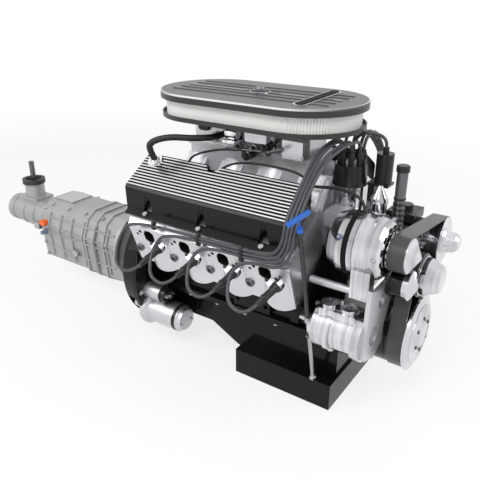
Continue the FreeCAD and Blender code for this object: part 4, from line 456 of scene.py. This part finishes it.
def finishes(look):
    """Make every material once."""
    black = tuple(look.paint)
    metal = tuple(look.metal)
    grey = tuple(look.gearbox)
    FINISHES.update({
        "block": paint("block_paint", black, 0.24),
        "pan": paint("pan_paint", shade(black, 0.8), 0.12, 90.0),
        "cover": cover_paint("cover_paint", tuple(look.cover)),
        "lid": lid_paint("lid_paint", (0.085, 0.086, 0.09)),
        "cast": cast_metal("cast_aluminium", metal, 0.28, 0.9),
        "intake": cast_metal("intake_aluminium", shade(metal, 1.1), 0.42, 0.55, 500.0),
        "polished": polished_metal("polished_aluminium", (0.66, 0.67, 0.69), 0.12),
        "satin": cast_metal("satin_aluminium", shade(metal, 0.95), 0.38, 0.95, 700.0, 0.0002),
        "gearbox": cast_metal("gearbox_casting", grey, 0.50, 0.55, 420.0, 0.0008),
        "turret": two_tone("turret", grey, 0.5, (0.03, 0.03, 0.032), 0.0, 0.45, 0.112),
        "steel": steel("plated_steel"),
        "dark": steel("dark_steel", (0.16, 0.16, 0.17), 0.38),
        "chrome": polished_metal("chrome", (0.82, 0.83, 0.85), 0.05),
        "rubber": soft_black("rubber", (0.010, 0.010, 0.011), 0.45),
        "belt": soft_black("belt_rubber", (0.040, 0.040, 0.042), 0.32),
        "lead": soft_black("lead_jacket", (0.045, 0.047, 0.052), 0.38),
        "plastic": soft_black("moulded_plastic", (0.009, 0.009, 0.010), 0.3),
        "stick": two_tone("dipstick_stuff", (0.05, 0.05, 0.055), 0.6, tuple(look.handle), 0.0,
                          0.35, 0.312),
        "tube": two_tone("stick_tube_stuff", (0.42, 0.43, 0.45), 1.0, (0.06, 0.06, 0.065), 0.7,
                         0.32, 0.070),
        "idler": two_tone("idler_stuff", (0.008, 0.008, 0.009), 0.0, (0.64, 0.65, 0.67), 1.0, 0.2,
                          1.503, 0),
        "ring": two_tone("crank_ring_stuff", (0.012, 0.012, 0.013), 0.3, (0.64, 0.65, 0.67), 1.0,
                         0.18, 1.514, 0),
        "orange": soft_black("orange_connector", (0.72, 0.12, 0.03), 0.45),
        "grey_plastic": soft_black("grey_plastic", (0.12, 0.15, 0.20), 0.4),
        "paper": pleated_paper("filter_paper", (0.93, 0.93, 0.91)),
        # Near-black: the lid's name bar is really black; the sheets in ports, bolt holes, vent
        # openings and gaps are painted shade
        "black_and_shade": soft_black("matte_black_and_painted_shade", (0.002, 0.002, 0.002), 0.95),
        "gasket": soft_black("gasket_sheet", (0.16, 0.16, 0.17), 0.7),
    })


CAD_FINISH = {
    "block": ("engine_block", "timing_cover", "block_plate", "bellhousing"),
    "pan": ("oil_pan",),
    "cover": ("valve_cover_right", "valve_cover_left"),
    "lid": ("air_cleaner_lid", "air_cleaner_tray"),
    "cast": ("cylinder_head_right", "cylinder_head_left", "throttle_body_rear",
             "throttle_body_front", "pistons_right", "pistons_left"),
    "intake": ("intake_manifold",),
    "satin": ("starter_motor", "water_pump", "accessory_bracket"),
    "polished": ("water_pump_pulley", "alternator", "alternator_pulley", "compressor",
                 "steering_pulley", "thermostat_housing", "distributor_housing"),
    "idler": ("idler_pulley",),
    "ring": ("crank_pulley",),
    "gearbox": ("gearbox_case", "gearbox_tail"),
    "turret": ("shifter_turret",),
    "steel": ("crankshaft", "flywheel", "camshaft", "spark_plugs", "engine_bolts",
              "throttle_shaft_rear", "throttle_shaft_front", "output_shaft",
              "gearbox_fittings"),
    "dark": ("main_bearing_caps", "crank_sprocket", "cam_sprocket", "timing_chain",
             "shift_lever", "oil_filler_tube", "lid_nut"),
    "chrome": ("fuel_regulator",),
    "rubber": ("breather_hose",),
    "belt": ("serpentine_belt",),
    "lead": ("plug_leads",),
    "plastic": ("distributor_cap", "distributor_rotor", "ignition_coil", "oil_filler_cap",
                "power_steering_pump"),
    "stick": ("dipstick",),
    "tube": ("dipstick_tube",),
    "paper": ("air_filter",),
    "gasket": ("head_gaskets",),
}


def coat(piece, finish):
    """Give a piece its material in every slot."""
    if not piece.material_slots:
        piece.data.materials.append(FINISHES[finish])
    for slot in piece.material_slots:
        slot.material = FINISHES[finish]


# Mesh helpers

def new_piece(name, mesh, finish, body="engine"):
    """Put a finished mesh or curve in the scene, riding on its body."""
    piece = bpy.data.objects.new(name, mesh)
    bpy.context.scene.collection.objects.link(piece)
    coat(piece, finish)
    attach(piece, body)
    return piece


def smooth(mesh):
    """Shade smoothly, but keep the sharp edges."""
    for face in mesh.polygons:
        face.use_smooth = True
    work = bmesh.new()
    work.from_mesh(mesh)
    for edge in work.edges:
        sharp = len(edge.link_faces) == 2 and edge.calc_face_angle(0.0) > SHARP_EDGE
        edge.smooth = not sharp
    work.to_mesh(mesh)
    work.free()
    return mesh


def band(work, first, second):
    """Faces between two rings of points, of which one may be a single point."""
    steps = max(len(first), len(second))
    for step in range(steps):
        following = (step + 1) % steps
        corners = (first[step % len(first)], first[following % len(first)],
                   second[following % len(second)], second[step % len(second)])
        work.faces.new(list(dict.fromkeys(corners)))


def turned(points, at, way, steps):
    """A turned form: rings of (along, radius) points about an axis."""
    work = bmesh.new()
    spin = UP.rotation_difference(Vector(way)).to_matrix()
    rings = []
    for along, radius in points:
        ring = []
        for step in range(steps if radius else 1):
            angle = math.tau * step / steps
            spot = Vector((radius * math.cos(angle), radius * math.sin(angle), along))
            ring.append(work.verts.new(Vector(at) + spin @ spot))
        rings.append(ring)
    for first, second in zip(rings, rings[1:]):
        band(work, first, second)
    bmesh.ops.recalc_face_normals(work, faces=work.faces)
    return work


def disc(radius, height, at, way, steps):
    """A plain disc or bar that starts at a point."""
    return turned([(0, 0), (0, radius), (height, radius), (height, 0)], at, way, steps)


def gather(parts):
    """Join bmeshes into one mesh."""
    whole = bmesh.new()
    spare = bpy.data.meshes.new("spare")
    for part in parts:
        part.to_mesh(spare)
        whole.from_mesh(spare)
        part.free()
    bpy.data.meshes.remove(spare)
    mesh = bpy.data.meshes.new("part")
    whole.to_mesh(mesh)
    whole.free()
    return smooth(mesh)


def solid(name, parts, finish, body="engine"):
    """Put bmeshes in the scene as one piece."""
    return new_piece(name, gather(parts), finish, body)


def plate(corners, depth, at, across, up, bevel=0.0):
    """A plate of an outline, with its edges eased, that rises towards across x up."""
    work = bmesh.new()
    across, up = Vector(across).normalized(), Vector(up).normalized()
    away = across.cross(up)
    face = work.faces.new([work.verts.new(Vector(at) + across * x + up * y)
                           for x, y in corners])
    made = bmesh.ops.extrude_face_region(work, geom=[face])
    moved = [item for item in made["geom"] if isinstance(item, bmesh.types.BMVert)]
    bmesh.ops.translate(work, verts=moved, vec=away * depth)
    bmesh.ops.recalc_face_normals(work, faces=work.faces)
    if bevel:
        bmesh.ops.bevel(work, geom=list(work.edges), offset=bevel, segments=2,
                        affect="EDGES", clamp_overlap=True)
    return work


def slab(length, width, ease=0.25):
    """Outline of a rounded oblong about its middle."""
    half_length, half_width = length / 2, width / 2
    cut = min(length, width) * ease
    return [(-half_length + cut, -half_width), (half_length - cut, -half_width),
            (half_length, -half_width + cut), (half_length, half_width - cut),
            (half_length - cut, half_width), (-half_length + cut, half_width),
            (-half_length, half_width - cut), (-half_length, -half_width + cut)]


def skin(node, start, way):
    """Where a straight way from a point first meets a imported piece, and the normal there."""
    met, spot, normal, _ = NODES[node].ray_cast(Vector(start), Vector(way).normalized())
    if not met:
        raise RuntimeError("nothing of %s on the way from %s" % (node, tuple(start)))
    return spot, normal


def surface(node, start, way):
    """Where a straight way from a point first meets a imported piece."""
    return skin(node, start, way)[0]


def middle(node):
    """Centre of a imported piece's box."""
    low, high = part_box(node)
    return (Vector(low) + Vector(high)) / 2


def around(at, radius, angle):
    """A point at a radius and an angle about a line along the engine."""
    return Vector(at) + Vector((0, radius * math.cos(angle), radius * math.sin(angle)))


def rib(node, start, end, way, width, height, steps=20):
    """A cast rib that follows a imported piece's skin between two points."""
    work = bmesh.new()
    way = Vector(way).normalized()
    start, end = Vector(start), Vector(end)
    side = (end - start).cross(way).normalized()
    rings = []
    for step in range(steps + 1):
        spot = surface(node, start.lerp(end, step / steps), way)
        rings.append([work.verts.new(spot + side * across * width - way * out)
                      for across, out in ((-0.62, -0.002), (-0.5, height * 0.7),
                                          (-0.3, height), (0.3, height), (0.5, height * 0.7),
                                          (0.62, -0.002))])
    for first, second in zip(rings, rings[1:]):
        band(work, first, second)
    work.faces.new(rings[0])
    work.faces.new(rings[-1])
    bmesh.ops.recalc_face_normals(work, faces=work.faces)
    return work


def line(name, points, radius, finish, slot):
    """A flexible line on a smooth curve through the air."""
    curve = bpy.data.curves.new(name, "CURVE")
    curve.dimensions = "3D"
    curve.bevel_depth = radius
    curve.bevel_resolution = 3
    curve.resolution_u = 8
    curve.use_fill_caps = True
    spline = curve.splines.new("NURBS")
    spline.points.add(len(points) - 1)
    for point, spot in zip(spline.points, points):
        point.co = (*spot, 1.0)
    spline.order_u = 3
    spline.use_endpoint_u = True
    return new_piece(name, curve, finish)


def bolt(at, way, radius=0.0055, height=0.005, washer=0.008):
    """A hexagon head with a chamfered crown, on a washer if it has a size, sunk a little."""
    at = Vector(at) - Vector(way).normalized() * SUNK
    head = turned([(0, 0), (0, radius), (height * 0.9, radius), (height * 1.2, radius * 0.8),
                   (height * 1.2, 0)], at, way, 6)
    return [disc(washer, height * 0.25, at, way, 20), head] if washer else [head]


def bolt_on(node, start, way, *size):
    """A bolt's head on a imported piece, met along a straight way."""
    return bolt(surface(node, start, way), -Vector(way), *size)


def bolt_row(node, across, level, way, *size):
    """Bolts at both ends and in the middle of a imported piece."""
    low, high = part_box(node)
    return [part for along in (0.012, 0.5, 0.988)
            for part in bolt_on(node, (low.x + (high.x - low.x) * along, across, level), way,
                                *size)]


# Sizes and colours that a user would change

def colour(name, description, default):
    return FloatVectorProperty(name=name, description=description, subtype="COLOR", size=3,
                               default=default)


class EngineLook(bpy.types.PropertyGroup):
    """Colours of the engine."""

    paint: colour("Block paint", "Paint of the block and pan", (0.004, 0.004, 0.0045))
    cover: colour("Cover paint", "Paint of the valve covers", (0.004, 0.004, 0.0045))
    metal: colour("Cast metal", "Colour of the cast aluminium", (0.66, 0.67, 0.69))
    gearbox: colour("Gearbox metal", "Colour of the gearbox case", (0.40, 0.41, 0.41))
    handle: colour("Handle", "Colour of the dipstick's handle", (0.015, 0.12, 0.50))


class EngineSizes(bpy.types.PropertyGroup):
    """Sizes of the fine detail."""

    lead_radius: FloatProperty(name="Lead radius", description="Radius of a plug lead",
                               unit="LENGTH", default=0.0038)
    hose_radius: FloatProperty(name="Hose radius", description="Radius of the breather hose",
                               unit="LENGTH", default=0.008)
    pleats: IntProperty(name="Pleats", description="Pleats round the air filter", default=190)


class ENGINE_OT_stage(bpy.types.Operator):
    """Floor, soft lights and the camera"""

    bl_idname = "engine.stage"
    bl_label = "Stage"

    def execute(self, context):
        mesh = bpy.data.meshes.new("floor")
        corners = [(FLOOR_REACH * along, FLOOR_REACH * across, FLOOR)
                   for along, across in ((-1, -1), (1, -1), (1, 1), (-1, 1))]
        mesh.from_pydata(corners, [], [(0, 1, 2, 3)])
        floor = bpy.data.objects.new("floor", mesh)
        context.scene.collection.objects.link(floor)
        finish = Finish("floor_white", (0.92, 0.92, 0.92), 0.0, 0.6)
        glow = finish.node("ShaderNodeEmission", inputs={"Strength": 1.0})
        along, across, _ = finish.split(finish.place())
        away = finish.step((along * along + across * across) ** 0.5, 1.4, 3.2)
        both = finish.node("ShaderNodeMixShader",
                           inputs={0: finish.seen() * (0.78 + 0.22 * away), 2: glow})
        finish.tree.links.new(finish.shader.outputs[0], both.socket.node.inputs[1])
        end = [node for node in finish.tree.nodes if node.type == "OUTPUT_MATERIAL"][0]
        finish.tree.links.new(both.socket, end.inputs["Surface"])
        mesh.materials.append(finish.material)

        world = bpy.data.worlds.new("studio")
        context.scene.world = world
        world.use_nodes = True
        sky = Nodes(world.node_tree)
        light = sky.node("ShaderNodeBackground",
                         inputs={"Color": (1, 1, 1, 1), "Strength": 0.55 + 0.45 * sky.seen()})
        sky.node("ShaderNodeOutputWorld", inputs={"Surface": light})

        for name, place, aim, size, power in LAMPS:
            lamp = bpy.data.lights.new(name, "AREA")
            lamp.size = size
            lamp.energy = power
            holder = bpy.data.objects.new(name, lamp)
            holder.location = place
            way = Vector(aim) - Vector(place)
            holder.rotation_euler = way.to_track_quat("-Z", "Y").to_euler()
            context.scene.collection.objects.link(holder)

        lens = bpy.data.cameras.new("photo")
        lens.lens = CAMERA_LENS
        lens.sensor_width = 36.0
        camera = bpy.data.objects.new("photo", lens)
        camera.location = CAMERA_AT
        camera.rotation_euler = CAMERA_TURN
        context.scene.collection.objects.link(camera)
        context.scene.camera = camera
        context.scene.view_settings.view_transform = "Standard"
        return {"FINISHED"}


class ENGINE_OT_finishes(bpy.types.Operator):
    """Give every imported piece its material"""

    bl_idname = "engine.finishes"
    bl_label = "Finishes"

    def execute(self, context):
        finishes(context.scene.engine_look)
        for finish, names in CAD_FINISH.items():
            for name in names:
                coat(NODES[name], finish)
        return {"FINISHED"}


class ENGINE_OT_filter(bpy.types.Operator):
    """Pleated filter element between the tray and the lid"""

    bl_idname = "engine.filter"
    bl_label = "Air filter"

    def execute(self, context):
        low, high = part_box("air_filter")
        half = (high.y - low.y) / 2
        straight = (high.x - low.x) / 2 - half
        count = context.scene.engine_sizes.pleats * 2
        length = 4 * straight + math.tau * half
        work = bmesh.new()
        rims = []
        for level, drawn in ((low.z + 0.0005, 0.0015), (high.z - 0.0005, 0.0)):
            rim = []
            for index in range(count):
                inset = drawn + (0.0 if index % 2 else 0.006)
                spot = self.edge(length * index / count, straight, half, half - inset)
                rim.append(work.verts.new((*spot, level)))
            rims.append(rim)
        band(work, *rims)
        for rim in rims:
            work.faces.new(rim)
        bmesh.ops.recalc_face_normals(work, faces=work.faces)
        pleats = solid("filter_pleats", [work], "paper")
        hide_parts("air_filter")
        return {"FINISHED"}

    def edge(self, along, straight, outer, radius):
        """A point a given way round the oval, counted on its outer edge."""
        arc = math.pi * outer
        for side in (1, -1):
            if along < arc:
                angle = along / outer - side * math.pi / 2
                return (LID_CENTRE + side * straight + radius * math.cos(angle),
                        radius * math.sin(angle))
            along -= arc
            if along < 2 * straight:
                return (LID_CENTRE + side * (straight - along), side * radius)
            along -= 2 * straight
        return (LID_CENTRE + straight, -radius)


class ENGINE_OT_lid(bpy.types.Operator):
    """Bare name bar across the lid, and the ring under its nut"""

    bl_idname = "engine.lid"
    bl_label = "Lid trim"

    def execute(self, context):
        edge = plate(slab(0.213, 0.0340, 0.3), 0.0030, BAR_AT, BAR_ALONG, BAR_BACK, 0.0006)
        bar = plate(slab(0.202, 0.0230, 0.3), 0.0044, BAR_AT, BAR_ALONG, BAR_BACK, 0.0008)
        ring = turned(LID_RING, (middle("lid_nut").x, 0, LID_TOP), UP, 64)
        solid("lid_bar_edge", [edge, ring], "polished")
        solid("lid_bar", [bar], "black_and_shade")
        return {"FINISHED"}


class ENGINE_OT_leads(bpy.types.Operator):
    """Plug leads with their boots and clips"""

    bl_idname = "engine.leads"
    bl_label = "Plug leads"

    def execute(self, context):
        radius = context.scene.engine_sizes.lead_radius
        boots = []
        clips = []
        for side, hand, stagger in BANKS:
            for cylinder in range(4):
                plug = PLUG_SEAT + AHEAD * (PORT_PITCH * cylinder + stagger)
                self.lead(side, hand, stagger, cylinder, plug, radius)
                way = Vector((PLUG_WAY.x, hand * PLUG_WAY.y, PLUG_WAY.z))
                at = Vector((plug.x, hand * plug.y, plug.z)) + way * BOOT_OFF
                boots.append(turned(PLUG_BOOT, at, way, 24))
            for along, low, high in LEAD_CLIPS:
                clips.append(plate(slab(high - low, 0.010, 0.3), 0.009,
                                   (along + stagger - 0.0045, hand * LEAD_OUT,
                                    (high + low) / 2 + 0.010), -UP, LEFT, 0.001))
        for index in range(TOWERS + 1):
            ring = TOWER_RING if index < TOWERS else 0.0
            angle = TOWER_ANGLE * (index + 0.5)
            at = CAP_AT + Vector((ring * math.cos(angle), ring * math.sin(angle), 0))
            boots.append(turned(TOWER_BOOT, at, UP, 20))
        boot_piece = solid("plug_boots", boots, "rubber")
        solid("lead_clips", clips, "plastic")
        line("coil_lead", COIL_LEAD, radius, "lead", "lead_grey")
        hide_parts("plug_leads")
        return {"FINISHED"}

    def lead(self, side, hand, stagger, cylinder, plug, radius):
        """One lead: out of the boot, along under the cover, up its front end and to the cap."""
        end = plug + PLUG_WAY * LEAD_OFF
        level = LEAD_LEVEL - LEAD_GAP * cylinder
        rise = COVER_FRONT + stagger + 0.006 + LEAD_GAP * cylinder
        angle = TOWER_ANGLE * (3.5 - cylinder)
        tower_x = CAP_AT.x + TOWER_RING * math.cos(angle)
        tower_out = hand * CAP_AT.y + TOWER_RING * math.sin(angle)
        route = [end] + [end + Vector(step) for step in LEAD_ROUTE]
        route += [
            (end.x - 0.048, LEAD_OUT, level),
            (rise - 0.034, LEAD_OUT, level),
            (rise, 0.285, level + 0.036),
            (rise, 0.273, level + 0.092),
            (rise, 0.205, 0.396),
            ((rise + tower_x) / 2, 0.130, 0.434),
            (tower_x, tower_out + 0.026, 0.438),
            (tower_x, tower_out + 0.005, 0.427),
            (tower_x, tower_out, 0.408)]
        line("lead_%s_%d" % (side, cylinder + 1), [(x, hand * y, z) for x, y, z in route],
             radius, "lead", "lead_grey")


class ENGINE_OT_heads(bpy.types.Operator):
    """Black sheets painted as the shade inside the exhaust ports and on their bolt holes, and the
    round nuts between them
    """

    bl_idname = "engine.heads"
    bl_label = "Heads"

    def execute(self, context):
        port_shades = []
        nuts = []
        for side, hand, stagger in BANKS:
            out = Vector((0, hand * math.cos(PORT_TILT), -math.sin(PORT_TILT)))
            up = Vector((0, hand * math.sin(PORT_TILT), math.cos(PORT_TILT)))
            head = "cylinder_head_" + side
            for cylinder in range(4):
                centre = Vector((PORT_FIRST + PORT_PITCH * cylinder + stagger,
                                 hand * PORT_OUT, PORT_HEIGHT))
                # A black sheet down the inside of the port, painted shade where the port is dark
                work = bmesh.new()
                rings = [[work.verts.new(centre + (AHEAD * x + up * y) * 0.985 - out * depth)
                          for x, y in PORT_OUTLINE] for depth in (SUNK, PORT_DEPTH)]
                band(work, *rings)
                work.faces.new(rings[1])
                port_shades.append(work)
                # A black disc on each bolt hole, painted shade
                for shift, rise in PORT_BOLTS:
                    start = centre + AHEAD * shift + up * rise + out * 0.05
                    port_shades.append(disc(0.0042, 0.0004, surface(head, start, -out), out, 24))
                start = Vector((centre.x - 0.047, hand * 0.33, 0.1485))
                spot = surface(head, start, LEFT * -hand)
                nuts.append(turned(ROUND_NUT, spot, (0, hand * 0.95, -0.32), 32))
        solid("port_painted_shade", port_shades, "black_and_shade")
        solid("head_nuts", nuts, "dark")
        return {"FINISHED"}


class ENGINE_OT_lines(bpy.types.Operator):
    """Breather hose and the thin lines over the intake"""

    bl_idname = "engine.lines"
    bl_label = "Lines"

    def execute(self, context):
        out = Vector((0, -math.sin(COVER_TILT), math.cos(COVER_TILT)))
        hose = line("breather_line",
                    (HOSE_MOUTH + out * 0.007, HOSE_MOUTH + out * 0.041, *HOSE_ROUTE),
                    context.scene.engine_sizes.hose_radius, "rubber", "hose_rubber")
        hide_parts("breather_hose")
        feet = [surface("intake_manifold", spot, -UP) for spot in LINE_FEET]
        post = surface("alternator", (1.405, -0.112, 0.40), -UP)
        for name, route, radius in (
                ("fuel_line_rear", (feet[0], *REAR_LINE), LINE_RADIUS),
                ("fuel_line_front", (feet[1], *FRONT_LINE, feet[2]), LINE_RADIUS),
                ("alternator_wire", (feet[3], *WIRE_ROUTE, post), WIRE_RADIUS)):
            line(name, route, radius, "rubber", "hose_rubber")
        fittings = [turned(LINE_FITTING, foot, UP, 6) for foot in feet]
        solid("line_fittings", fittings, "steel")
        solid("hose_grommet", [turned(GROMMET, HOSE_MOUTH, out, 40)], "chrome")
        return {"FINISHED"}


class ENGINE_OT_throttles(bpy.types.Operator):
    """Bolts, links and sensors on the throttle bodies"""

    bl_idname = "engine.throttles"
    bl_label = "Throttle bodies"

    def execute(self, context):
        bright = []
        dark = []
        for node in ("throttle_body_rear", "throttle_body_front"):
            low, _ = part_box(node)
            bright += bolt_row(node, -0.12, low.z + 0.010, LEFT, 0.0035, 0.004, 0.005)
            dark.append(plate(slab(0.034, 0.020), 0.012,
                              (low.x + 0.030, low.y + 0.004, low.z + 0.040), AHEAD, UP, 0.002))
        low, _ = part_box("throttle_body_front")
        bright.append(plate(slab(0.060, 0.026, 0.12), 0.020,
                            (low.x + 0.034, low.y + 0.002, low.z + 0.046), AHEAD, UP, 0.0015))
        links = [turned([(0, 0), (0, radius), (length * 0.4, radius),
                         (length * 0.5, radius * 0.6), (length + 0.008, radius * 0.6),
                         (length + 0.008, 0)], start, -LEFT, 24)
                 for start, radius, length in LINKS]
        links.append(disc(0.0024, 0.148, LONG_ROD_AT, (1, 0, 0.06), 16))
        links.append(turned(SHORT_ROD, SHORT_ROD_AT, (1, 0, 0.35), 20))
        dark += [turned([(0, 0), (0, radius), (0.018, radius), (0.0185, radius * 0.86),
                         (0.022, radius * 0.86), (0.0225, radius), (0.030, radius),
                         (0.032, radius * 0.8), (0.032, radius * 0.45), (0.037, radius * 0.45),
                         (0.037, 0)], start, -LEFT, 32) for start, radius in SENSORS]
        solid("throttle_links", links, "dark")
        solid("throttle_screws", bright, "satin")
        solid("throttle_caps", dark, "plastic")
        return {"FINISHED"}


class ENGINE_OT_gearbox(bpy.types.Operator):
    """Cast ribs, bolts and the connectors of the gearbox"""

    bl_idname = "engine.gearbox"
    bl_label = "Gearbox"

    def execute(self, context):
        ribs = []
        bolts = []
        for hand in (-1, 1):
            way = LEFT * -hand
            out = hand * 0.3
            for along in CASE_RIBS:
                ribs.append(rib("gearbox_case", (along, out, -0.085), (along, out, 0.066), way,
                                0.006, 0.006))
            for level in (-0.055, 0.0, 0.052):
                ribs.append(rib("gearbox_case", (0.275, out, level), (0.600, out, level), way,
                                0.005, 0.0045, 40))
            for along in (0.090, 0.150, 0.205):
                ribs.append(rib("gearbox_tail", (along, out, -0.034), (along, out, 0.034), way,
                                0.005, 0.004, 12))
            for level in (-0.090, -0.045, 0.030, 0.075):
                bolts += bolt_on("gearbox_case", (0.2675, out, level), way, 0.006, 0.006, 0.0)
        for along in (0.29, 0.37, 0.45, 0.53):
            for across in (-0.062, 0.062):
                bolts += bolt_on("gearbox_case", (along, across, 0.3), -UP)
        solid("gearbox_ribs", ribs, "gearbox")
        solid("gearbox_bolts", bolts, "steel")
        spot = surface("gearbox_case", (0.2813, -0.30, 0.0297), LEFT)
        block = plate(slab(0.030, 0.018), 0.022, spot + LEFT * 0.004, AHEAD, UP, 0.0025)
        solid("gearbox_connector", [block], "orange")
        sensor = turned(GEARBOX_SENSOR, spot + Vector((0.004, 0, -0.030)), -LEFT, 24)
        solid("gearbox_sensor", [sensor], "grey_plastic")
        return {"FINISHED"}


class ENGINE_OT_front(bpy.types.Operator):
    """Bolts of the belt-driven pieces, black sheets painted as the shade in their vent openings
    and in the gap round the alternator, the crank's disc and the neck
    """

    bl_idname = "engine.front"
    bl_label = "Front drive"

    def execute(self, context):
        vent_shades = []
        bolts = []
        _, axis_y, axis_z = middle("alternator_pulley")
        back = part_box("alternator")[0].x
        out = surface("alternator", (back + 0.054, axis_y - 0.3, axis_z), LEFT)
        reach = abs(out.y - axis_y)
        # A black band painted as the shade in the gap round the alternator's case
        vent_shades.append(turned([(0.048, reach - 0.003), (0.048, reach + 0.0004),
                             (0.060, reach + 0.0004), (0.060, reach - 0.003),
                             (0.048, reach - 0.003)],
                            (back, axis_y, axis_z), AHEAD, 72))
        # Black sheets painted as the shade inside the vent openings on the alternator's front
        for index in range(SLOTS):
            angle = math.tau * (index + 0.5) / SLOTS
            across = Vector((0, -math.sin(angle), math.cos(angle)))
            start = around((AHEAD_OF_ALL, axis_y, axis_z), SLOT_CIRCLE, angle)
            spot, normal = skin("alternator", start, -AHEAD)
            if normal.x > 0.6:
                vent_shades.append(plate(slab(0.016, 0.009, 0.3), 0.0005, spot, across,
                                   across.cross(normal) * -1))
        for index in range(3):
            start = around((AHEAD_OF_ALL, axis_y, axis_z), CASE_BOLT_CIRCLE,
                           math.radians(60 + 120 * index))
            bolts += bolt_on("alternator", start, -AHEAD, 0.0045, 0.005, 0.006)
        bolts += bolt_row("compressor", -0.170, 0.30, -UP, 0.005, 0.005, 0.007)
        # Black discs on the compressor's top, painted shade
        for start in ((1.395, -0.179, 0.30), (1.445, -0.175, 0.30)):
            vent_shades.append(disc(0.0095, 0.0006, surface("compressor", start, -UP), UP, 32))
        solid("front_vent_shades", vent_shades, "black_and_shade")
        solid("front_bolts", bolts, "steel")
        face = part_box("crank_pulley")[1].x
        dish = turned(CRANK_DISC, (face, 0, 0), AHEAD, 72)
        pins = []
        for index in range(6):
            spot = around((face - SUNK, 0, 0), DISC_BOLT_CIRCLE,
                          math.radians(25 + 60 * index))
            pins += bolt(spot, AHEAD, 0.0042, 0.003, 0.006)
        solid("crank_disc", [dish], "polished", "crank")
        solid("crank_disc_bolts", pins, "dark", "crank")
        centre = middle("oil_filler_tube")
        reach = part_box("oil_filler_tube")[1].x - centre.x
        rings = [turned([(-0.003, reach - 0.001), (-0.0015, reach + 0.0015),
                         (0.0015, reach + 0.0015), (0.003, reach - 0.001),
                         (-0.003, reach - 0.001)],
                        (centre.x, centre.y, TUBE_RING_FIRST + TUBE_RING_PITCH * index),
                        UP, 32) for index in range(TUBE_RINGS)]
        solid("neck_cone", [turned(NECK_CONE, NECK_AT, UP, 48)], "polished")
        solid("filler_tube_rings", rings, "plastic")
        return {"FINISHED"}


class ENGINE_OT_lower(bpy.types.Operator):
    """Bolts and caps of the starter, bolts of the bellhousing and the dipstick's fittings"""

    bl_idname = "engine.lower"
    bl_label = "Lower engine"

    def execute(self, context):
        caps = [turned(SOLENOID_CAP, SOLENOID_AT, AHEAD, 40),
                turned(STARTER_BAND, STARTER_BAND_AT, AHEAD, 64)]
        bolts = []
        for across in (-0.0125, 0.0125):
            bolts += bolt(SOLENOID_AT + Vector((0.0185, across, 0.004)), AHEAD, 0.0035, 0.010,
                          0.005)
        low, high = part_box("starter_motor")
        for across in (-0.022, 0.022):
            start = (high.x + 0.1, (low.y + high.y) / 2 + across, low.z + 0.040)
            bolts += bolt_on("starter_motor", start, -AHEAD, 0.0045, 0.004, 0.0)
        for hand in (-1, 1):
            for index in range(5):
                angle = math.radians(-10 + 25 * index)
                bolts += bolt((BELL_FACE, hand * BELL_CIRCLE * math.cos(angle),
                               BELL_CIRCLE * math.sin(angle)), AHEAD)
        strap = plate(STRAP_OUTLINE, 0.004, STRAP_AT, LEFT, UP, 0.0008)
        solid("starter_strap", [strap], "plastic")
        fittings = []
        for level, radius, length in STICK_NUTS:
            at = STICK_FOOT + STICK_LINE * ((level - STICK_FOOT.z) / STICK_LINE.z)
            fittings.append(turned([(0, 0.0048), (0, radius), (length * 0.6, radius),
                                    (length * 0.75, radius * 0.8), (length, radius * 0.75),
                                    (length, 0.0048), (0, 0.0048)], at, STICK_LINE, 6))
        solid("stick_fittings", fittings, "steel")
        solid("lower_bolts", bolts, "steel")
        solid("solenoid_cap", caps, "plastic")
        return {"FINISHED"}


class ENGINE_PT_panel(bpy.types.Panel):
    """The engine's colours, sizes and pieces"""

    bl_label = "Engine"
    bl_idname = "ENGINE_PT_panel"
    bl_space_type = "VIEW_3D"
    bl_region_type = "UI"
    bl_category = "Engine"

    def draw(self, context):
        for group in (context.scene.engine_look, context.scene.engine_sizes):
            for name in group.__annotations__:
                self.layout.prop(group, name)
        for operator in OPERATORS:
            self.layout.operator(operator.bl_idname)


OPERATORS = (ENGINE_OT_stage, ENGINE_OT_finishes, ENGINE_OT_filter, ENGINE_OT_lid,
             ENGINE_OT_leads, ENGINE_OT_heads, ENGINE_OT_lines, ENGINE_OT_throttles,
             ENGINE_OT_gearbox, ENGINE_OT_front, ENGINE_OT_lower)
CLASSES = (EngineLook, EngineSizes) + OPERATORS + (ENGINE_PT_panel,)


def register():
    for item in CLASSES:
        bpy.utils.register_class(item)
    bpy.types.Scene.engine_look = PointerProperty(type=EngineLook)
    bpy.types.Scene.engine_sizes = PointerProperty(type=EngineSizes)


def unregister():
    del bpy.types.Scene.engine_sizes
    del bpy.types.Scene.engine_look
    for item in reversed(CLASSES):
        bpy.utils.unregister_class(item)


def main():
    register()
    for operator in OPERATORS:
        group, name = operator.bl_idname.split(".")
        getattr(getattr(bpy.ops, group), name)()


if __name__ == "__main__":
    main()
